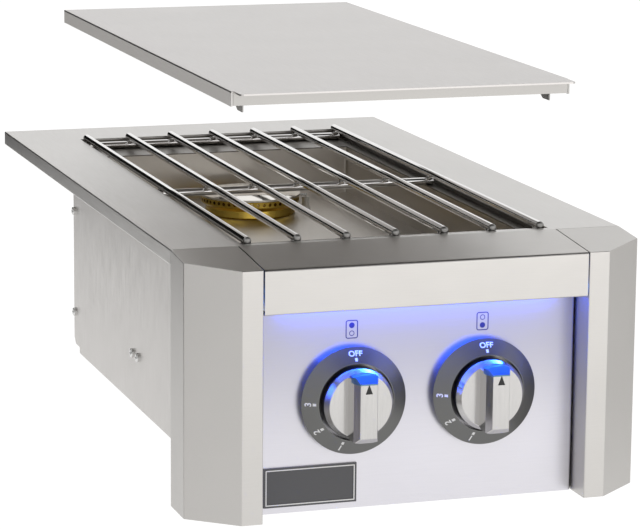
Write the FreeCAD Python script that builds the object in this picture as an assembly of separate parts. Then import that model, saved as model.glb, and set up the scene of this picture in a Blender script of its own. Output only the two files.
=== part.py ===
import FreeCAD, Part
import math
import os

# A built in side burner for an outdoor kitchen island, in millimetres.
# X runs to the right, Y to the back, Z up. The origin is where the countertop's upper plane meets
# the island's front wall, half way across. The lid stands lifted off, straight above its seat.

Vec = FreeCAD.Vector

# How near an edge must lie to be picked
NEAR = 0.01

# Sheet thicknesses
FRAME_T = 1.2
BOX_T = 1.0

# Top frame
TOP_W = 356.0
TOP_BACK = 578.0
LIP_H = 12.0
LIP_RETURN = 12.0
OPEN_EDGE = 4.4
OPEN_FRONT = 6.5
REAR_SHELF = 62.0

# Front of the unit: sloped strip, columns, header and panel
STRIP_D = 66.0
STRIP_DROP = 5.5
COLUMN_W = 51.6
COLUMN_SIDE_Y = 36.0
COLUMN_FRONT_IN = 35.5
BODY_DROP = 182.5
HEADER_DROP = 27.0
HEADER_RETURN = 12.0
COLUMN_RETURN = 10.0
COLUMN_BACK_FLANGE = 15.0
SEAM = 0.4
HEADER_GAP = 0.8
BEND_R = 1.0
TOP_EDGE_R = 0.6
HEADER_BEND_R = 2.2
PANEL_Y = -41.7
PANEL_GAP = 1.0
PANEL_BEND_R = 2.0
PANEL_RETURN = 16.0
PANEL_TOP_GAP = 3.0

# Badge, left blank
BADGE_W = 72.0
BADGE_H = 30.0
BADGE_T = 1.5
BADGE_EDGE = 7.4
BADGE_BELOW = 8.0
BADGE_BORDER = 2.4
BADGE_RECESS = 0.4

# Housing under the frame
BOX_BEHIND = 10.0
BOX_FRONT = -33.0
NOTCH_D = 20.0
NOTCH_H = 5.5
BACK_FLANGE = 12.0
BASE_FLANGE = 10.0
VENT_L = 60.0
VENT_W = 6.0
VENT_PITCH = 22.0
VENT_COUNT = 7
VENT_DROP = 80.0

# Burner tub
TUB_EDGE = 9.0
TUB_FRONT_LEDGE = 42.0
TUB_REAR_LEDGE = 51.0
LEDGE_DROP = 8.0
TUB_DEPTH = 42.0
TUB_CORNER_R = 2.0

# Grate
ROD_D = 6.35
ROD_COUNT = 7
ROD_EDGE = 5.3
ROD_END_GAP = 0.8
ROD_END_R = 2.4
BAR_D = 6.35
BAR_END_GAP = 3.0
BAR_INSET = 9.0
BAR_MID_AHEAD = 7.0
WELD_R = 3.0

# Lid, shown lifted
LID_OVERLAP = 11.0
LID_SHIFT = 1.2
LID_LIFT = 104.2
LID_FLANGE = 11.4
LID_LIP = 17.5
LID_LIP_R = 3.0
LID_LIP_INSET = 1.8
LID_SLIT = 0.3
LID_END_SHORT = 0.6
TAB_T = 1.0
TAB_SIDE_GAP = 0.4
TAB_END_GAP = 0.5
TAB_DROP = 6.0
TAB_FOOT_L = 12.4
TAB_L = 23.0
TAB_FLANGE = 10.0

# Knobs and bezels
KNOB_X = 51.4
KNOB_UP = 83.6
KNOB_R = 26.9
KNOB_FACE_R = 24.0
KNOB_BACK = 5.3
KNOB_RIM = 18.3
KNOB_FACE = 22.8
KNOB_WALL = 2.5
KNOB_FACE_WALL = 3.5
HUB_R = 9.0
GRIP_FRONT = 41.3
GRIP_SHOULDER = 34.0
GRIP_FLARE = 4.0
GRIP_EDGE_IN = 1.0
GRIP_BASE_W = 20.0
GRIP_SHOULDER_W = 18.6
GRIP_FRONT_W = 13.0
GRIP_SHOULDER_L = 51.0
GRIP_FRONT_L = 41.0
KNOB_EDGE_R = 0.5
POINTER_H = 7.0
POINTER_W = 5.4
POINTER_T = 0.3
POINTER_UP = 13.0
BEZEL_R = 40.6
BEZEL_BASE_R = 37.0
BEZEL_RIM = 6.2
BEZEL_RISE = 13.0
BEZEL_LIP = 0.5
BEZEL_HOLE_GAP = 2.1
BEZEL_WALL = 1.6

# Stems, springs and valves
STEM_R = 4.0
STEM_FLAT = 2.2
RUN_GAP = 0.05
SOCKET_GAP = 0.2
STEM_BACK = 17.7
PUSH_TRAVEL = 3.0
SPRING_LEN = 8.0
SPRING_R = 6.3
SPRING_WIRE_R = 0.6
SPRING_TURNS = 5
SPRING_END_GAP = 0.1
WASHER_T = 1.5
BOSS_R = 8.0
BOSS_GAP = 0.3
BOSS_OUT = 2.3
VALVE_W = 26.0
VALVE_L = 36.0
VALVE_H = 24.0
VALVE_EDGE_R = 2.0
VALVE_FLANGE_W = 36.0
VALVE_FLANGE_T = 2.0
VALVE_SCREW_X = 13.0
VALVE_SCREW_L = 8.0
VALVE_BOSS_R = 5.0
VALVE_BOSS_L = 3.5
SWITCH_L = 18.0
SWITCH_W = 12.0
SWITCH_H = 8.0
SWITCH_SET = 6.0
SWITCH_EDGE_R = 1.0

# Screws
SCREW_R = 2.0
SCREW_GAP = 0.05
SCREW_SPARE = 3.0
HEAD_R = 3.75
HEAD_H = 2.4
HEAD_EDGE_R = 0.96
RECESS_L = 3.8
RECESS_W = 0.9
RECESS_DEPTH = 1.4
BACK_SCREW_IN = 4.5
BACK_SCREW_HIGH = 54.2
BACK_SCREW_LOW = 147.2
BASE_SCREW_IN = 9.6
BASE_SCREW_EDGE = 37.9

# Gas supply
MANIFOLD_R = 9.5
PIPE_WALL = 1.6
MANIFOLD_LEFT_SPARE = 40.6
MANIFOLD_RIGHT_SPARE = 18.6
MANIFOLD_Y = -14.0
END_CAP_T = 3.0
END_CAP_L = 6.0
END_CAP_WALL = 2.0
PLUG_L = 6.0
SUPPLY_R = 7.9
SUPPLY_IN = 22.4
CLAMP_W = 14.0
CLAMP_T = 1.6
INLET_HEX_R = 12.0
INLET_HEX_L = 10.0
INLET_THREAD_R = 7.94
INLET_THREAD_L = 14.0
INLET_STEP = 0.5
INLET_BORE_R = 4.5

# Orifices, mixing tubes and air shutters
ORIFICE_R = 5.0
ORIFICE_L = 15.0
ORIFICE_CHAMFER = 2.0
ORIFICE_BORE_R = 0.8
ORIFICE_SPIGOT_R = 3.0
ORIFICE_SPIGOT_L = 4.0
TUBE_R = 12.5
TUBE_WALL = 1.2
TUBE_START = 10.0
TUBE_KNEE = 52.0
TUBE_RISE = 12.0
SHUTTER_L = 16.0
SHUTTER_Y = 16.0
SHUTTER_T = 1.2
SHUTTER_TAB_W = 2.0
SHUTTER_TAB_L = 5.0
SHUTTER_TAB_H = 6.0
WINDOW_L = 9.0
WINDOW_ANGLE = 70.0
BRACE_AHEAD = 104.0
BRACE_W = 30.0
BRACE_SCREW_PITCH = 18.3
BRACE_TAB_L = 6.0
BRACE_DROP = 138.8
BRACE_SEAT_L = 12.0
BRACE_SEAT_LOW = 5.0

# Burners
BURNER_IN = 73.0
RING_R = 43.0
RING_H = 15.5
RING_HEAD_H = 5.0
RING_FOOT_R = 38.4
RING_FOOT_OUT = 1.2
RING_WAIST_UP = 6.6
RING_FLOOR_T = 3.0
RING_BORE_R = 36.0
PORT_COUNT = 52
PORT_R = 1.4
CAP_R = 43.8
CAP_H = 3.3
CAP_DOME = 1.2
CAP_EDGE = 0.5
CAP_SPIGOT_GAP = 0.5
CAP_SPIGOT_L = 4.0
CAP_SPIGOT_T = 2.0
BOWL_R = 36.0
BOWL_FLANGE_T = 3.0
BOWL_CONE = 6.0
BOWL_NECK_R = 16.0
BOWL_NECK_L = 20.0
BOWL_NECK_WALL = 3.4
DECK_HOLE_R = 22.0
BURNER_SCREW_PCD = 60.0

# Igniters, leads and spark module
IGNITER_X = 51.0
INSULATOR_R = 3.2
INSULATOR_UP = 11.0
INSULATOR_DOWN = 22.0
COLLAR_OUT = 1.2
COLLAR_H = 2.5
ELECTRODE_R = 1.0
ELECTRODE_UP = 14.0
SPARK_GAP = 3.5
LEAD_R = 1.8
MODULE_W = 22.0
MODULE_L = 60.0
MODULE_H = 26.0
MODULE_AHEAD = 31.0
MODULE_DROP = 27.0
MODULE_EDGE_R = 2.0

# Light
LIGHT_END = 16.4
LIGHT_D = 8.0
LIGHT_TOP = 12.0
LIGHT_H = 12.5
LIGHT_EDGE_R = 1.5
LENS_H = 2.0
LIGHT_LEAD_R = 1.5
LEAD_GAP = 0.1
LIGHT_LEAD_IN = 10.0
LIGHT_LEAD_SIDE = 12.0
LIGHT_LEAD_DROP = 66.0
JACK_R = 6.0
JACK_BORE_R = 2.8
JACK_FLOOR = 3.0
JACK_COLLAR = 2.0
JACK_SIDE = 31.4
JACK_Z = -120.0
JACK_OUT = 6.0
JACK_IN = 14.0

# Derived places
TOP_Z = LIP_H
FRAME_UNDER = TOP_Z - FRAME_T
BAY_W = TOP_W - 2 * COLUMN_W
OPEN_W = BAY_W - 2 * OPEN_EDGE
OPEN_BACK = TOP_BACK - REAR_SHELF
HALF_TOP = TOP_W / 2
HALF_OPEN = OPEN_W / 2
HALF_BAY = BAY_W / 2
BOX_BACK = OPEN_BACK + BOX_BEHIND
TUB_W = OPEN_W - 2 * TUB_EDGE
TUB_FRONT = OPEN_FRONT + TUB_FRONT_LEDGE
TUB_BACK = OPEN_BACK - TUB_REAR_LEDGE
FRONT_BURNER_Y = TUB_FRONT + BURNER_IN
REAR_BURNER_Y = TUB_BACK - BURNER_IN
LEDGE_Z = TOP_Z - LEDGE_DROP
DECK_Z = LEDGE_Z - TUB_DEPTH
DECK_UNDER = DECK_Z - BOX_T
BASE_Z = -BODY_DROP + FRAME_T
ROD_PITCH = (OPEN_W - 2 * ROD_EDGE) / (ROD_COUNT - 1)
BAR_Z = LEDGE_Z + BAR_D / 2
ROD_Z = BAR_Z + (BAR_D + ROD_D) / 2
LID_W = OPEN_W + 2 * LID_OVERLAP
LID_D = OPEN_BACK - OPEN_FRONT + 2 * LID_OVERLAP
LID_BOTTOM = TOP_Z + LID_LIFT
LID_TOP = LID_BOTTOM + LID_FLANGE
LID_MID_Y = (OPEN_FRONT + OPEN_BACK) / 2 + LID_SHIFT
BADGE_X = -HALF_BAY + BADGE_EDGE + BADGE_W / 2
KNOB_Z = -BODY_DROP + KNOB_UP
BADGE_Z = KNOB_Z - BEZEL_R - BADGE_BELOW - BADGE_H / 2
HOLE_R = SCREW_R + SCREW_GAP
BEZEL_HOLE_R = KNOB_R + BEZEL_HOLE_GAP
STEM_BORE_R = STEM_R + RUN_GAP
PANEL_BACK = PANEL_Y + FRAME_T
VALVE_BACK = PANEL_BACK + VALVE_L
HUB_BACK = BOSS_OUT + SPRING_LEN + WASHER_T
BASE_SCREW_Y = PANEL_BACK + BASE_SCREW_IN
LIGHT_W = BAY_W - 2 * LIGHT_END
LIGHT_MID_Z = -LIGHT_TOP - (LIGHT_H - LENS_H) / 2
MANIFOLD_Z = KNOB_Z - VALVE_H / 2 - MANIFOLD_R
MANIFOLD_LEFT = -KNOB_X - MANIFOLD_LEFT_SPARE
MANIFOLD_RIGHT = KNOB_X + MANIFOLD_RIGHT_SPARE
SUPPLY_X = HALF_BAY - SUPPLY_IN
JACK_X = -HALF_BAY + JACK_SIDE
BRACE_FRONT = REAR_BURNER_Y - BRACE_AHEAD
RING_TOP = DECK_Z + RING_H
BOWL_BOTTOM = DECK_UNDER - BOWL_NECK_L
MODULE_Y = (FRONT_BURNER_Y + REAR_BURNER_Y - MODULE_L) / 2 - MODULE_AHEAD
MODULE_Z = DECK_UNDER - MODULE_DROP - MODULE_H
VALVES = {"left": -KNOB_X, "right": KNOB_X}
BURNERS = {"front": FRONT_BURNER_Y, "rear": REAR_BURNER_Y}


# Helpers

def box(x0, x1, y0, y1, z0, z1):
    """A block between two corners."""
    return Part.makeBox(x1 - x0, y1 - y0, z1 - z0, Vec(x0, y0, z0))


def rod(start, axis, radius, length):
    """A solid cylinder from a point along an axis."""
    return Part.makeCylinder(radius, length, Vec(*start), Vec(*axis))


def pipe(start, axis, outer, inner, length):
    """A straight tube."""
    return rod(start, axis, outer, length).cut(rod(start, axis, inner, length))


def prism(points, axis, low, high):
    """A polygon extruded along X, Y or Z; its points are the two other coordinates in order."""
    place = {
        "x": lambda a, b: Vec(low, a, b),
        "y": lambda a, b: Vec(a, low, b),
        "z": lambda a, b: Vec(a, b, low),
    }[axis]
    along = {"x": Vec(1, 0, 0), "y": Vec(0, 1, 0), "z": Vec(0, 0, 1)}[axis]
    corners = [place(a, b) for a, b in points]
    face = Part.Face(Part.makePolygon(corners + corners[:1]))
    return face.extrude(along * (high - low))


def turned(profile, centre, axis):
    """A closed profile of (radius, distance along the axis), turned about the axis."""
    corners = [Vec(r, 0, h) for r, h in profile]
    solid = Part.Face(Part.makePolygon(corners + corners[:1])).revolve(Vec(0, 0, 0), Vec(0, 0, 1), 360)
    return placed(solid, centre, axis)


def fused(shapes):
    """Several touching shapes as one solid."""
    first = shapes[0]
    if len(shapes) > 1:
        first = first.fuse(shapes[1:])
    return first.removeSplitter()


def without(shape, tools):
    """A shape with each tool cut out of it."""
    return shape.cut(tools).removeSplitter() if tools else shape


def rounded(shape, radius, wanted):
    """A shape with each edge rounded whose box a test accepts."""
    return shape.makeFillet(radius, [e for e in shape.Edges if wanted(e.BoundBox)])


def placed(shape, start, axis):
    """A shape made about the origin along Z, stood on a point along an axis."""
    shape.Placement = FreeCAD.Placement(Vec(*start), FreeCAD.Rotation(Vec(0, 0, 1), Vec(*axis)))
    return shape


def mirrored(shape):
    """The same shape on the other side of the object's middle plane."""
    return shape.mirror(Vec(0, 0, 0), Vec(1, 0, 0))


def offset_line(points, amount):
    """An open line of corners moved sideways to its left by an amount, with mitred corners."""
    moved = []
    for i, (x, y) in enumerate(points):
        normals = []
        for a, b in ((i - 1, i), (i, i + 1)):
            if a < 0 or b >= len(points):
                continue
            dx = points[b][0] - points[a][0]
            dy = points[b][1] - points[a][1]
            size = math.hypot(dx, dy)
            normals.append((-dy / size, dx / size))
        nx = sum(n[0] for n in normals)
        ny = sum(n[1] for n in normals)
        if len(normals) == 2:
            scale = 2 / (nx * nx + ny * ny)
            nx *= scale
            ny *= scale
        moved.append((x + nx * amount, y + ny * amount))
    return moved


def folded(points, thickness):
    """The section of a folded sheet, its outer line to the right of the sheet."""
    return points + offset_line(points, thickness)[::-1]


def route(points):
    """A path of straight runs joined by tangent arcs, as large as the runs leave room for."""
    pts = [Vec(*p) for p in points]
    edges = []
    start = pts[0]
    least = None
    for i in range(1, len(pts) - 1):
        before = pts[i] - pts[i - 1]
        after = pts[i + 1] - pts[i]
        turn = before.getAngle(after)
        reach = 0.45 * min(before.Length, after.Length)
        radius = reach / math.tan(turn / 2)
        least = radius if least is None else min(least, radius)
        arc_start = pts[i] - before.normalize() * reach
        arc_end = pts[i] + after.normalize() * reach
        middle = (arc_start + arc_end) * 0.5
        inward = middle - pts[i]
        to_centre = math.hypot(radius, reach)
        arc_middle = pts[i] + inward.normalize() * (to_centre - radius)
        edges.append(Part.LineSegment(start, arc_start).toShape())
        edges.append(Part.Arc(arc_start, arc_middle, arc_end).toShape())
        start = arc_end
    edges.append(Part.LineSegment(start, pts[-1]).toShape())
    return Part.Wire(edges), least


def swept(points, radius):
    """A round solid along a route."""
    path, least = route(points)
    first = Vec(*points[1]) - Vec(*points[0])
    circle = Part.Wire(Part.makeCircle(radius, Vec(*points[0]), first))
    solid = path.makePipeShell([circle], True, False)
    print("route: least arc radius %.1f, volume over section times length %.4f"
          % (least, solid.Volume / (math.pi * radius ** 2 * path.Length)))
    return solid


def slope_z(y):
    """Height of the front strip's upper face ahead of the island's front wall."""
    return TOP_Z + STRIP_DROP * y / STRIP_D if y < 0 else TOP_Z


def screw(start, axis, length):
    """A pan head screw: the head stands on the start point and the shank goes the other way."""
    head = rounded(rod((0, 0, 0), (0, 0, 1), HEAD_R, HEAD_H), HEAD_EDGE_R, lambda b: b.ZMin > HEAD_H - NEAR)
    shank = rod((0, 0, 0), (0, 0, -1), SCREW_R, length)
    half_l = RECESS_L / 2
    half_w = RECESS_W / 2
    low = HEAD_H - RECESS_DEPTH
    cross = [box(-half_l, half_l, -half_w, half_w, low, HEAD_H + 1),
             box(-half_w, half_w, -half_l, half_l, low, HEAD_H + 1)]
    return placed(without(fused([head, shank]), cross), start, axis)


# Screw places shared by the sheets and the screws

def side_screw_places():
    """Y and Z of the screws in each side panel."""
    back_y = BOX_BACK - BACK_SCREW_IN
    brace_y = BRACE_FRONT + BRACE_W / 2
    return [
        (back_y, -BACK_SCREW_HIGH),
        (back_y, -BACK_SCREW_LOW),
        (brace_y - BRACE_SCREW_PITCH / 2, -BRACE_DROP),
        (brace_y + BRACE_SCREW_PITCH / 2, -BRACE_DROP),
    ]


def base_screw_places():
    """X of the screws through the base plate and the panel's return."""
    reach = HALF_BAY - BASE_SCREW_EDGE
    return (-reach, 0.0, reach)


# Top frame, columns, header and panel

def make_top_frame():
    plate = box(-HALF_TOP, HALF_TOP, 0, TOP_BACK, FRAME_UNDER, TOP_Z)
    side = folded([(-HALF_TOP + LIP_RETURN, 0), (-HALF_TOP, 0), (-HALF_TOP, FRAME_UNDER)], -FRAME_T)
    left = prism(side, "y", 0, TOP_BACK)
    back = folded([(TOP_BACK - LIP_RETURN, 0), (TOP_BACK, 0), (TOP_BACK, FRAME_UNDER)], FRAME_T)
    rear = prism(back, "x", -HALF_TOP, HALF_TOP)
    rim = box(-HALF_OPEN - FRAME_T, HALF_OPEN + FRAME_T, OPEN_FRONT - FRAME_T, OPEN_BACK + FRAME_T,
              LEDGE_Z, FRAME_UNDER)
    opening = box(-HALF_OPEN, HALF_OPEN, OPEN_FRONT, OPEN_BACK, LEDGE_Z - 1, TOP_Z + 1)
    frame = without(fused([plate, left, mirrored(left), rear, rim]), [opening])

    def bend(b):
        at_side = b.XMax < -HALF_TOP + NEAR or b.XMin > HALF_TOP - NEAR
        at_back = b.YMin > TOP_BACK - NEAR
        level = b.ZMin > TOP_Z - NEAR or b.ZMax < NEAR
        lengthwise = at_side and b.YLength > LIP_H or at_back and b.XLength > LIP_H
        return level and lengthwise or at_side and at_back

    return rounded(frame, BEND_R, bend)


def column_plan(inset, back):
    """The left column's outline seen from above, moved in by the sheet where asked."""
    line = [
        (-HALF_TOP, back),
        (-HALF_TOP, -COLUMN_SIDE_Y),
        (-HALF_TOP + COLUMN_FRONT_IN, -STRIP_D),
        (-HALF_BAY, -STRIP_D),
        (-HALF_BAY, back),
    ]
    return offset_line(line, inset) if inset else line


def under_slope(back, depth):
    """A block under the front strip's sloped face, lowered by a depth."""
    drop = slope_z(-STRIP_D) - depth
    low = -BODY_DROP - 1
    points = [(-STRIP_D - 1, low), (-STRIP_D - 1, drop - STRIP_DROP / STRIP_D), (0, TOP_Z - depth)]
    if back > 0:
        points.append((back, TOP_Z - depth))
    points.append((back, low))
    return prism(points, "x", -HALF_TOP - 1, HALF_TOP + 1)


def make_left_column():
    block = prism(column_plan(0, -SEAM), "z", -BODY_DROP, TOP_Z)
    block = rounded(block, BEND_R, lambda b: b.ZLength > LIP_H and b.YMax < -SEAM - 1)
    outer = block.common(under_slope(0, 0))
    outer = rounded(outer, TOP_EDGE_R, lambda b: b.ZMin > slope_z(-STRIP_D) - NEAR and b.YMax < -SEAM - 1)
    inner = prism(column_plan(FRAME_T, 5), "z", -BODY_DROP + FRAME_T, TOP_Z + 1)
    inner = inner.common(under_slope(5, FRAME_T))
    mouth = prism(column_plan(COLUMN_RETURN, 5), "z", -BODY_DROP - 1, -BODY_DROP + FRAME_T + 1)
    flange = box(-HALF_TOP, -HALF_TOP + COLUMN_BACK_FLANGE, -FRAME_T, 0, -BODY_DROP, 0)
    return fused([outer.cut([inner, mouth]), flange])


def make_header():
    line = [(0, TOP_Z), (-STRIP_D, slope_z(-STRIP_D)), (-STRIP_D, -HEADER_DROP),
            (-STRIP_D + HEADER_RETURN, -HEADER_DROP)]
    sheet = prism(folded(line, FRAME_T), "x", -HALF_BAY + HEADER_GAP, HALF_BAY - HEADER_GAP)
    inside = offset_line(line, FRAME_T)[1]
    for (y, z), radius in ((line[1], HEADER_BEND_R), (inside, HEADER_BEND_R - FRAME_T), (line[2], BEND_R)):
        sheet = rounded(sheet, radius, lambda b: b.XLength > HEADER_DROP and abs(b.YMax - y) < NEAR
                        and abs(b.ZMax - z) < NEAR)
    return without(sheet, [box(-HALF_BAY, HALF_BAY, 0, FRAME_T, LEDGE_Z, TOP_Z + 1)])


def make_control_panel():
    half = HALF_BAY - PANEL_GAP
    top = slope_z(PANEL_Y) - FRAME_T - PANEL_TOP_GAP
    back = PANEL_Y + PANEL_BEND_R + PANEL_RETURN
    outer = box(-half, half, PANEL_Y, back, -BODY_DROP, top)
    inner = box(-half + FRAME_T, half - FRAME_T, PANEL_BACK, back, -BODY_DROP + FRAME_T, top)

    def bend(shape, radius, y):
        height = shape.BoundBox.ZLength
        return rounded(shape, radius, lambda b: b.ZLength > height - NEAR and abs(b.YMin - y) < NEAR)

    shell = bend(outer, PANEL_BEND_R, PANEL_Y).cut(bend(inner, PANEL_BEND_R - FRAME_T, PANEL_BACK))
    cuts = []
    for x in VALVES.values():
        cuts.append(rod((x, PANEL_Y - 1, KNOB_Z), (0, 1, 0), BOSS_R + BOSS_GAP, FRAME_T + 2))
        for side in (-1, 1):
            cuts.append(rod((x + side * VALVE_SCREW_X, PANEL_Y - 1, KNOB_Z), (0, 1, 0), HOLE_R, FRAME_T + 2))
    for x in base_screw_places():
        cuts.append(rod((x, BASE_SCREW_Y, -BODY_DROP - 1), (0, 0, 1), HOLE_R, FRAME_T + 2))
    cuts.append(rod((-LIGHT_W / 2 + LIGHT_LEAD_IN, PANEL_Y - 1, LIGHT_MID_Z), (0, 1, 0),
                    LIGHT_LEAD_R + LEAD_GAP, FRAME_T + 2))
    return without(shell, cuts)


def make_badge():
    plate = box(BADGE_X - BADGE_W / 2, BADGE_X + BADGE_W / 2, PANEL_Y - BADGE_T, PANEL_Y,
                BADGE_Z - BADGE_H / 2, BADGE_Z + BADGE_H / 2)
    half_w = BADGE_W / 2 - BADGE_BORDER
    half_h = BADGE_H / 2 - BADGE_BORDER
    recess = box(BADGE_X - half_w, BADGE_X + half_w, PANEL_Y - BADGE_T, PANEL_Y - BADGE_T + BADGE_RECESS,
                 BADGE_Z - half_h, BADGE_Z + half_h)
    return without(plate, [recess])


# Housing

def make_side_panel():
    low = -BODY_DROP
    points = [(BOX_FRONT, low), (BOX_BACK - NOTCH_D, low), (BOX_BACK - NOTCH_D, low + NOTCH_H),
              (BOX_BACK - NOTCH_H, low + NOTCH_H), (BOX_BACK, low + 2 * NOTCH_H),
              (BOX_BACK, FRAME_UNDER), (0, FRAME_UNDER), (0, LEDGE_Z), (BOX_FRONT, LEDGE_Z)]
    sheet = prism(points, "x", -HALF_BAY, -HALF_BAY + BOX_T)
    cuts = [rod((-HALF_BAY - 1, y, z), (1, 0, 0), HOLE_R, BOX_T + 2) for y, z in side_screw_places()]
    return without(sheet, cuts)


def vent_slots(axis, across, low, high):
    """Round ended slots in a sheet, in one row."""
    slots = []
    for i in range(VENT_COUNT):
        at = (i - (VENT_COUNT - 1) / 2) * VENT_PITCH
        a = (at, -VENT_L / 2)
        b = (at, VENT_L / 2)
        if axis == "z":
            block = box(at - VENT_W / 2, at + VENT_W / 2, across + a[1], across + b[1], low, high)
            ends = [rod((at, across + s, low), (0, 0, 1), VENT_W / 2, high - low) for s in (a[1], b[1])]
        else:
            block = box(at - VENT_W / 2, at + VENT_W / 2, low, high, across + a[1], across + b[1])
            ends = [rod((at, low, across + s), (0, 1, 0), VENT_W / 2, high - low) for s in (a[1], b[1])]
        slots.append(fused([block] + ends))
    return slots


def make_back_panel():
    half = HALF_BAY - BOX_T
    low = BASE_Z + BASE_FLANGE
    line = [(-half, BOX_BACK - BACK_FLANGE), (-half, BOX_BACK), (half, BOX_BACK),
            (half, BOX_BACK - BACK_FLANGE)]
    sheet = prism(folded(line, -BOX_T), "z", low, LEDGE_Z - BOX_T)
    sheet = fused([sheet, box(-half, half, BOX_BACK - NOTCH_D - BOX_T, BOX_BACK - BOX_T, low, low + BOX_T)])
    cuts = vent_slots("y", -VENT_DROP, BOX_BACK - BOX_T - 1, BOX_BACK + 1)
    start = BOX_BACK - BOX_T - 1
    cuts.append(rod((SUPPLY_X, start, MANIFOLD_Z), (0, 1, 0), INLET_THREAD_R + BOSS_GAP, BOX_T + 2))
    cuts.append(rod((JACK_X, start, JACK_Z), (0, 1, 0), JACK_R + SCREW_GAP, BOX_T + 2))
    for y, z in side_screw_places()[:2]:
        cuts.append(rod((-half - 1, y, z), (1, 0, 0), HOLE_R, BOX_T + 2))
        cuts.append(rod((half - BOX_T - 1, y, z), (1, 0, 0), HOLE_R, BOX_T + 2))
    return without(sheet, cuts)


def make_base_plate():
    half = HALF_BAY - BOX_T
    panel_inner = PANEL_BACK
    back = BOX_BACK - NOTCH_D
    clear = half - FRAME_T
    line = [(-half, BASE_Z + BASE_FLANGE), (-half, BASE_Z), (half, BASE_Z), (half, BASE_Z + BASE_FLANGE)]
    front_y = PANEL_Y + PANEL_BEND_R + PANEL_RETURN
    tray = prism(folded(line, BOX_T), "y", front_y, back)
    tongue = box(-clear + PANEL_BEND_R, clear - PANEL_BEND_R, panel_inner, front_y, BASE_Z, BASE_Z + BOX_T)
    rear = box(-half, half, back - BOX_T, back, BASE_Z, BASE_Z + BASE_FLANGE)
    cuts = [rod((x, BASE_SCREW_Y, BASE_Z - 1), (0, 0, 1), HOLE_R, BOX_T + 2) for x in base_screw_places()]
    for y in (FRONT_BURNER_Y, REAR_BURNER_Y):
        cuts += vent_slots("z", y, BASE_Z - 1, BASE_Z + BOX_T + 1)
    return without(fused([tray, tongue, rear]), cuts)


def tub_block(out, low, high):
    """The tub's inside with rounded upright corners, made larger all round by an amount."""
    half = TUB_W / 2 + out
    block = box(-half, half, TUB_FRONT - out, TUB_BACK + out, low, high)
    return rounded(block, TUB_CORNER_R + out, lambda b: b.XLength < NEAR and b.YLength < NEAR)


def make_tub_ledge():
    """The plate that hangs under the opening and carries the grate, open over the tub."""
    half = HALF_BAY - BOX_T
    plate = box(-half, half, OPEN_FRONT - 2 * FRAME_T, BOX_BACK, LEDGE_Z - BOX_T, LEDGE_Z)
    return plate.cut(tub_block(0, LEDGE_Z - BOX_T - 1, LEDGE_Z + 1))


def make_tub():
    body = tub_block(BOX_T, DECK_UNDER, LEDGE_Z - BOX_T)
    cuts = [tub_block(0, DECK_Z, LEDGE_Z)]
    for y in BURNERS.values():
        cuts.append(rod((0, y, DECK_UNDER - 1), (0, 0, 1), DECK_HOLE_R, BOX_T + 2))
        cuts.append(rod((IGNITER_X, y, DECK_UNDER - 1), (0, 0, 1), INSULATOR_R + SCREW_GAP, BOX_T + 2))
        for x, sy in burner_screw_places(y):
            cuts.append(rod((x, sy, DECK_UNDER - 1), (0, 0, 1), HOLE_R, BOX_T + 2))
    return without(body, cuts)


# Grate and lid

def rod_places():
    return [(i - (ROD_COUNT - 1) / 2) * ROD_PITCH for i in range(ROD_COUNT)]


def make_grate_rods():
    length = OPEN_BACK - OPEN_FRONT - 2 * ROD_END_GAP
    shapes = []
    for x in rod_places():
        bar = rod((x, OPEN_FRONT + ROD_END_GAP, ROD_Z), (0, 1, 0), ROD_D / 2, length)
        shapes.append(rounded(bar, ROD_END_R, lambda b: b.YLength < NEAR))
    return Part.makeCompound(shapes)


def bar_places():
    first = OPEN_FRONT + ROD_END_GAP + BAR_INSET
    last = OPEN_BACK - ROD_END_GAP - BAR_INSET
    return [first, (first + last) / 2 - BAR_MID_AHEAD, last]


def make_grate_bars(rods):
    """The cross bars under the rods, with a weld bead where each rod crosses."""
    half = HALF_OPEN - BAR_END_GAP
    shapes = []
    for y in bar_places():
        bar = rod((-half, y, BAR_Z), (1, 0, 0), BAR_D / 2, 2 * half)
        beads = [Part.makeSphere(WELD_R, Vec(x, y, BAR_Z + BAR_D / 2)) for x in rod_places()]
        shapes.append(without(fused([bar] + beads), rods.Solids))
    return Part.makeCompound(shapes)


def make_lid():
    """A shallow tray of bent sheet; its top sheet reaches over the front flange as a lip."""
    half = LID_W / 2
    front = LID_MID_Y - LID_D / 2
    back = front + LID_D
    under = LID_TOP - FRAME_T
    sheet = box(-half, half, front, back, under, LID_TOP)
    lip_half = half - LID_LIP_INSET
    lip = rounded(box(-lip_half, lip_half, front - LID_LIP, front, under, LID_TOP), LID_LIP_R,
                  lambda b: b.YMax < front and b.XLength < NEAR and b.YLength < NEAR)
    sides = [box(x, x + FRAME_T, front, back, LID_BOTTOM, under) for x in (-half, half - FRAME_T)]
    end_half = half - FRAME_T - LID_SLIT
    ends = [box(-end_half, end_half, y, y + FRAME_T, LID_BOTTOM + LID_END_SHORT, under)
            for y in (front, back - FRAME_T)]
    return rounded(fused([sheet, lip] + sides + ends), BEND_R,
                   lambda b: b.ZMin > LID_TOP - NEAR and (b.YMin > back - NEAR or b.YLength > LID_LIP))


def make_lid_tabs():
    """Four bent tabs under the lid's corners, which keep it in the opening when it is on."""
    under = LID_TOP - FRAME_T
    low = LID_BOTTOM - TAB_DROP
    outer = HALF_OPEN - TAB_SIDE_GAP
    tabs = []
    for start, along in ((OPEN_FRONT + TAB_END_GAP, 1), (OPEN_BACK - TAB_END_GAP, -1)):
        end = start + along * TAB_L
        foot = start + along * TAB_FOOT_L
        line = [(start, under), (start, low), (foot, low), (end, LID_BOTTOM), (end, under)]
        blade = prism(line, "x", outer - TAB_T, outer)
        flange = box(outer - TAB_FLANGE, outer, min(start, end), max(start, end), under - TAB_T, under)
        tab = fused([blade, flange])
        tabs += [tab, mirrored(tab)]
    return Part.makeCompound(tabs)


# Knobs, bezels, stems and valves

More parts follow.
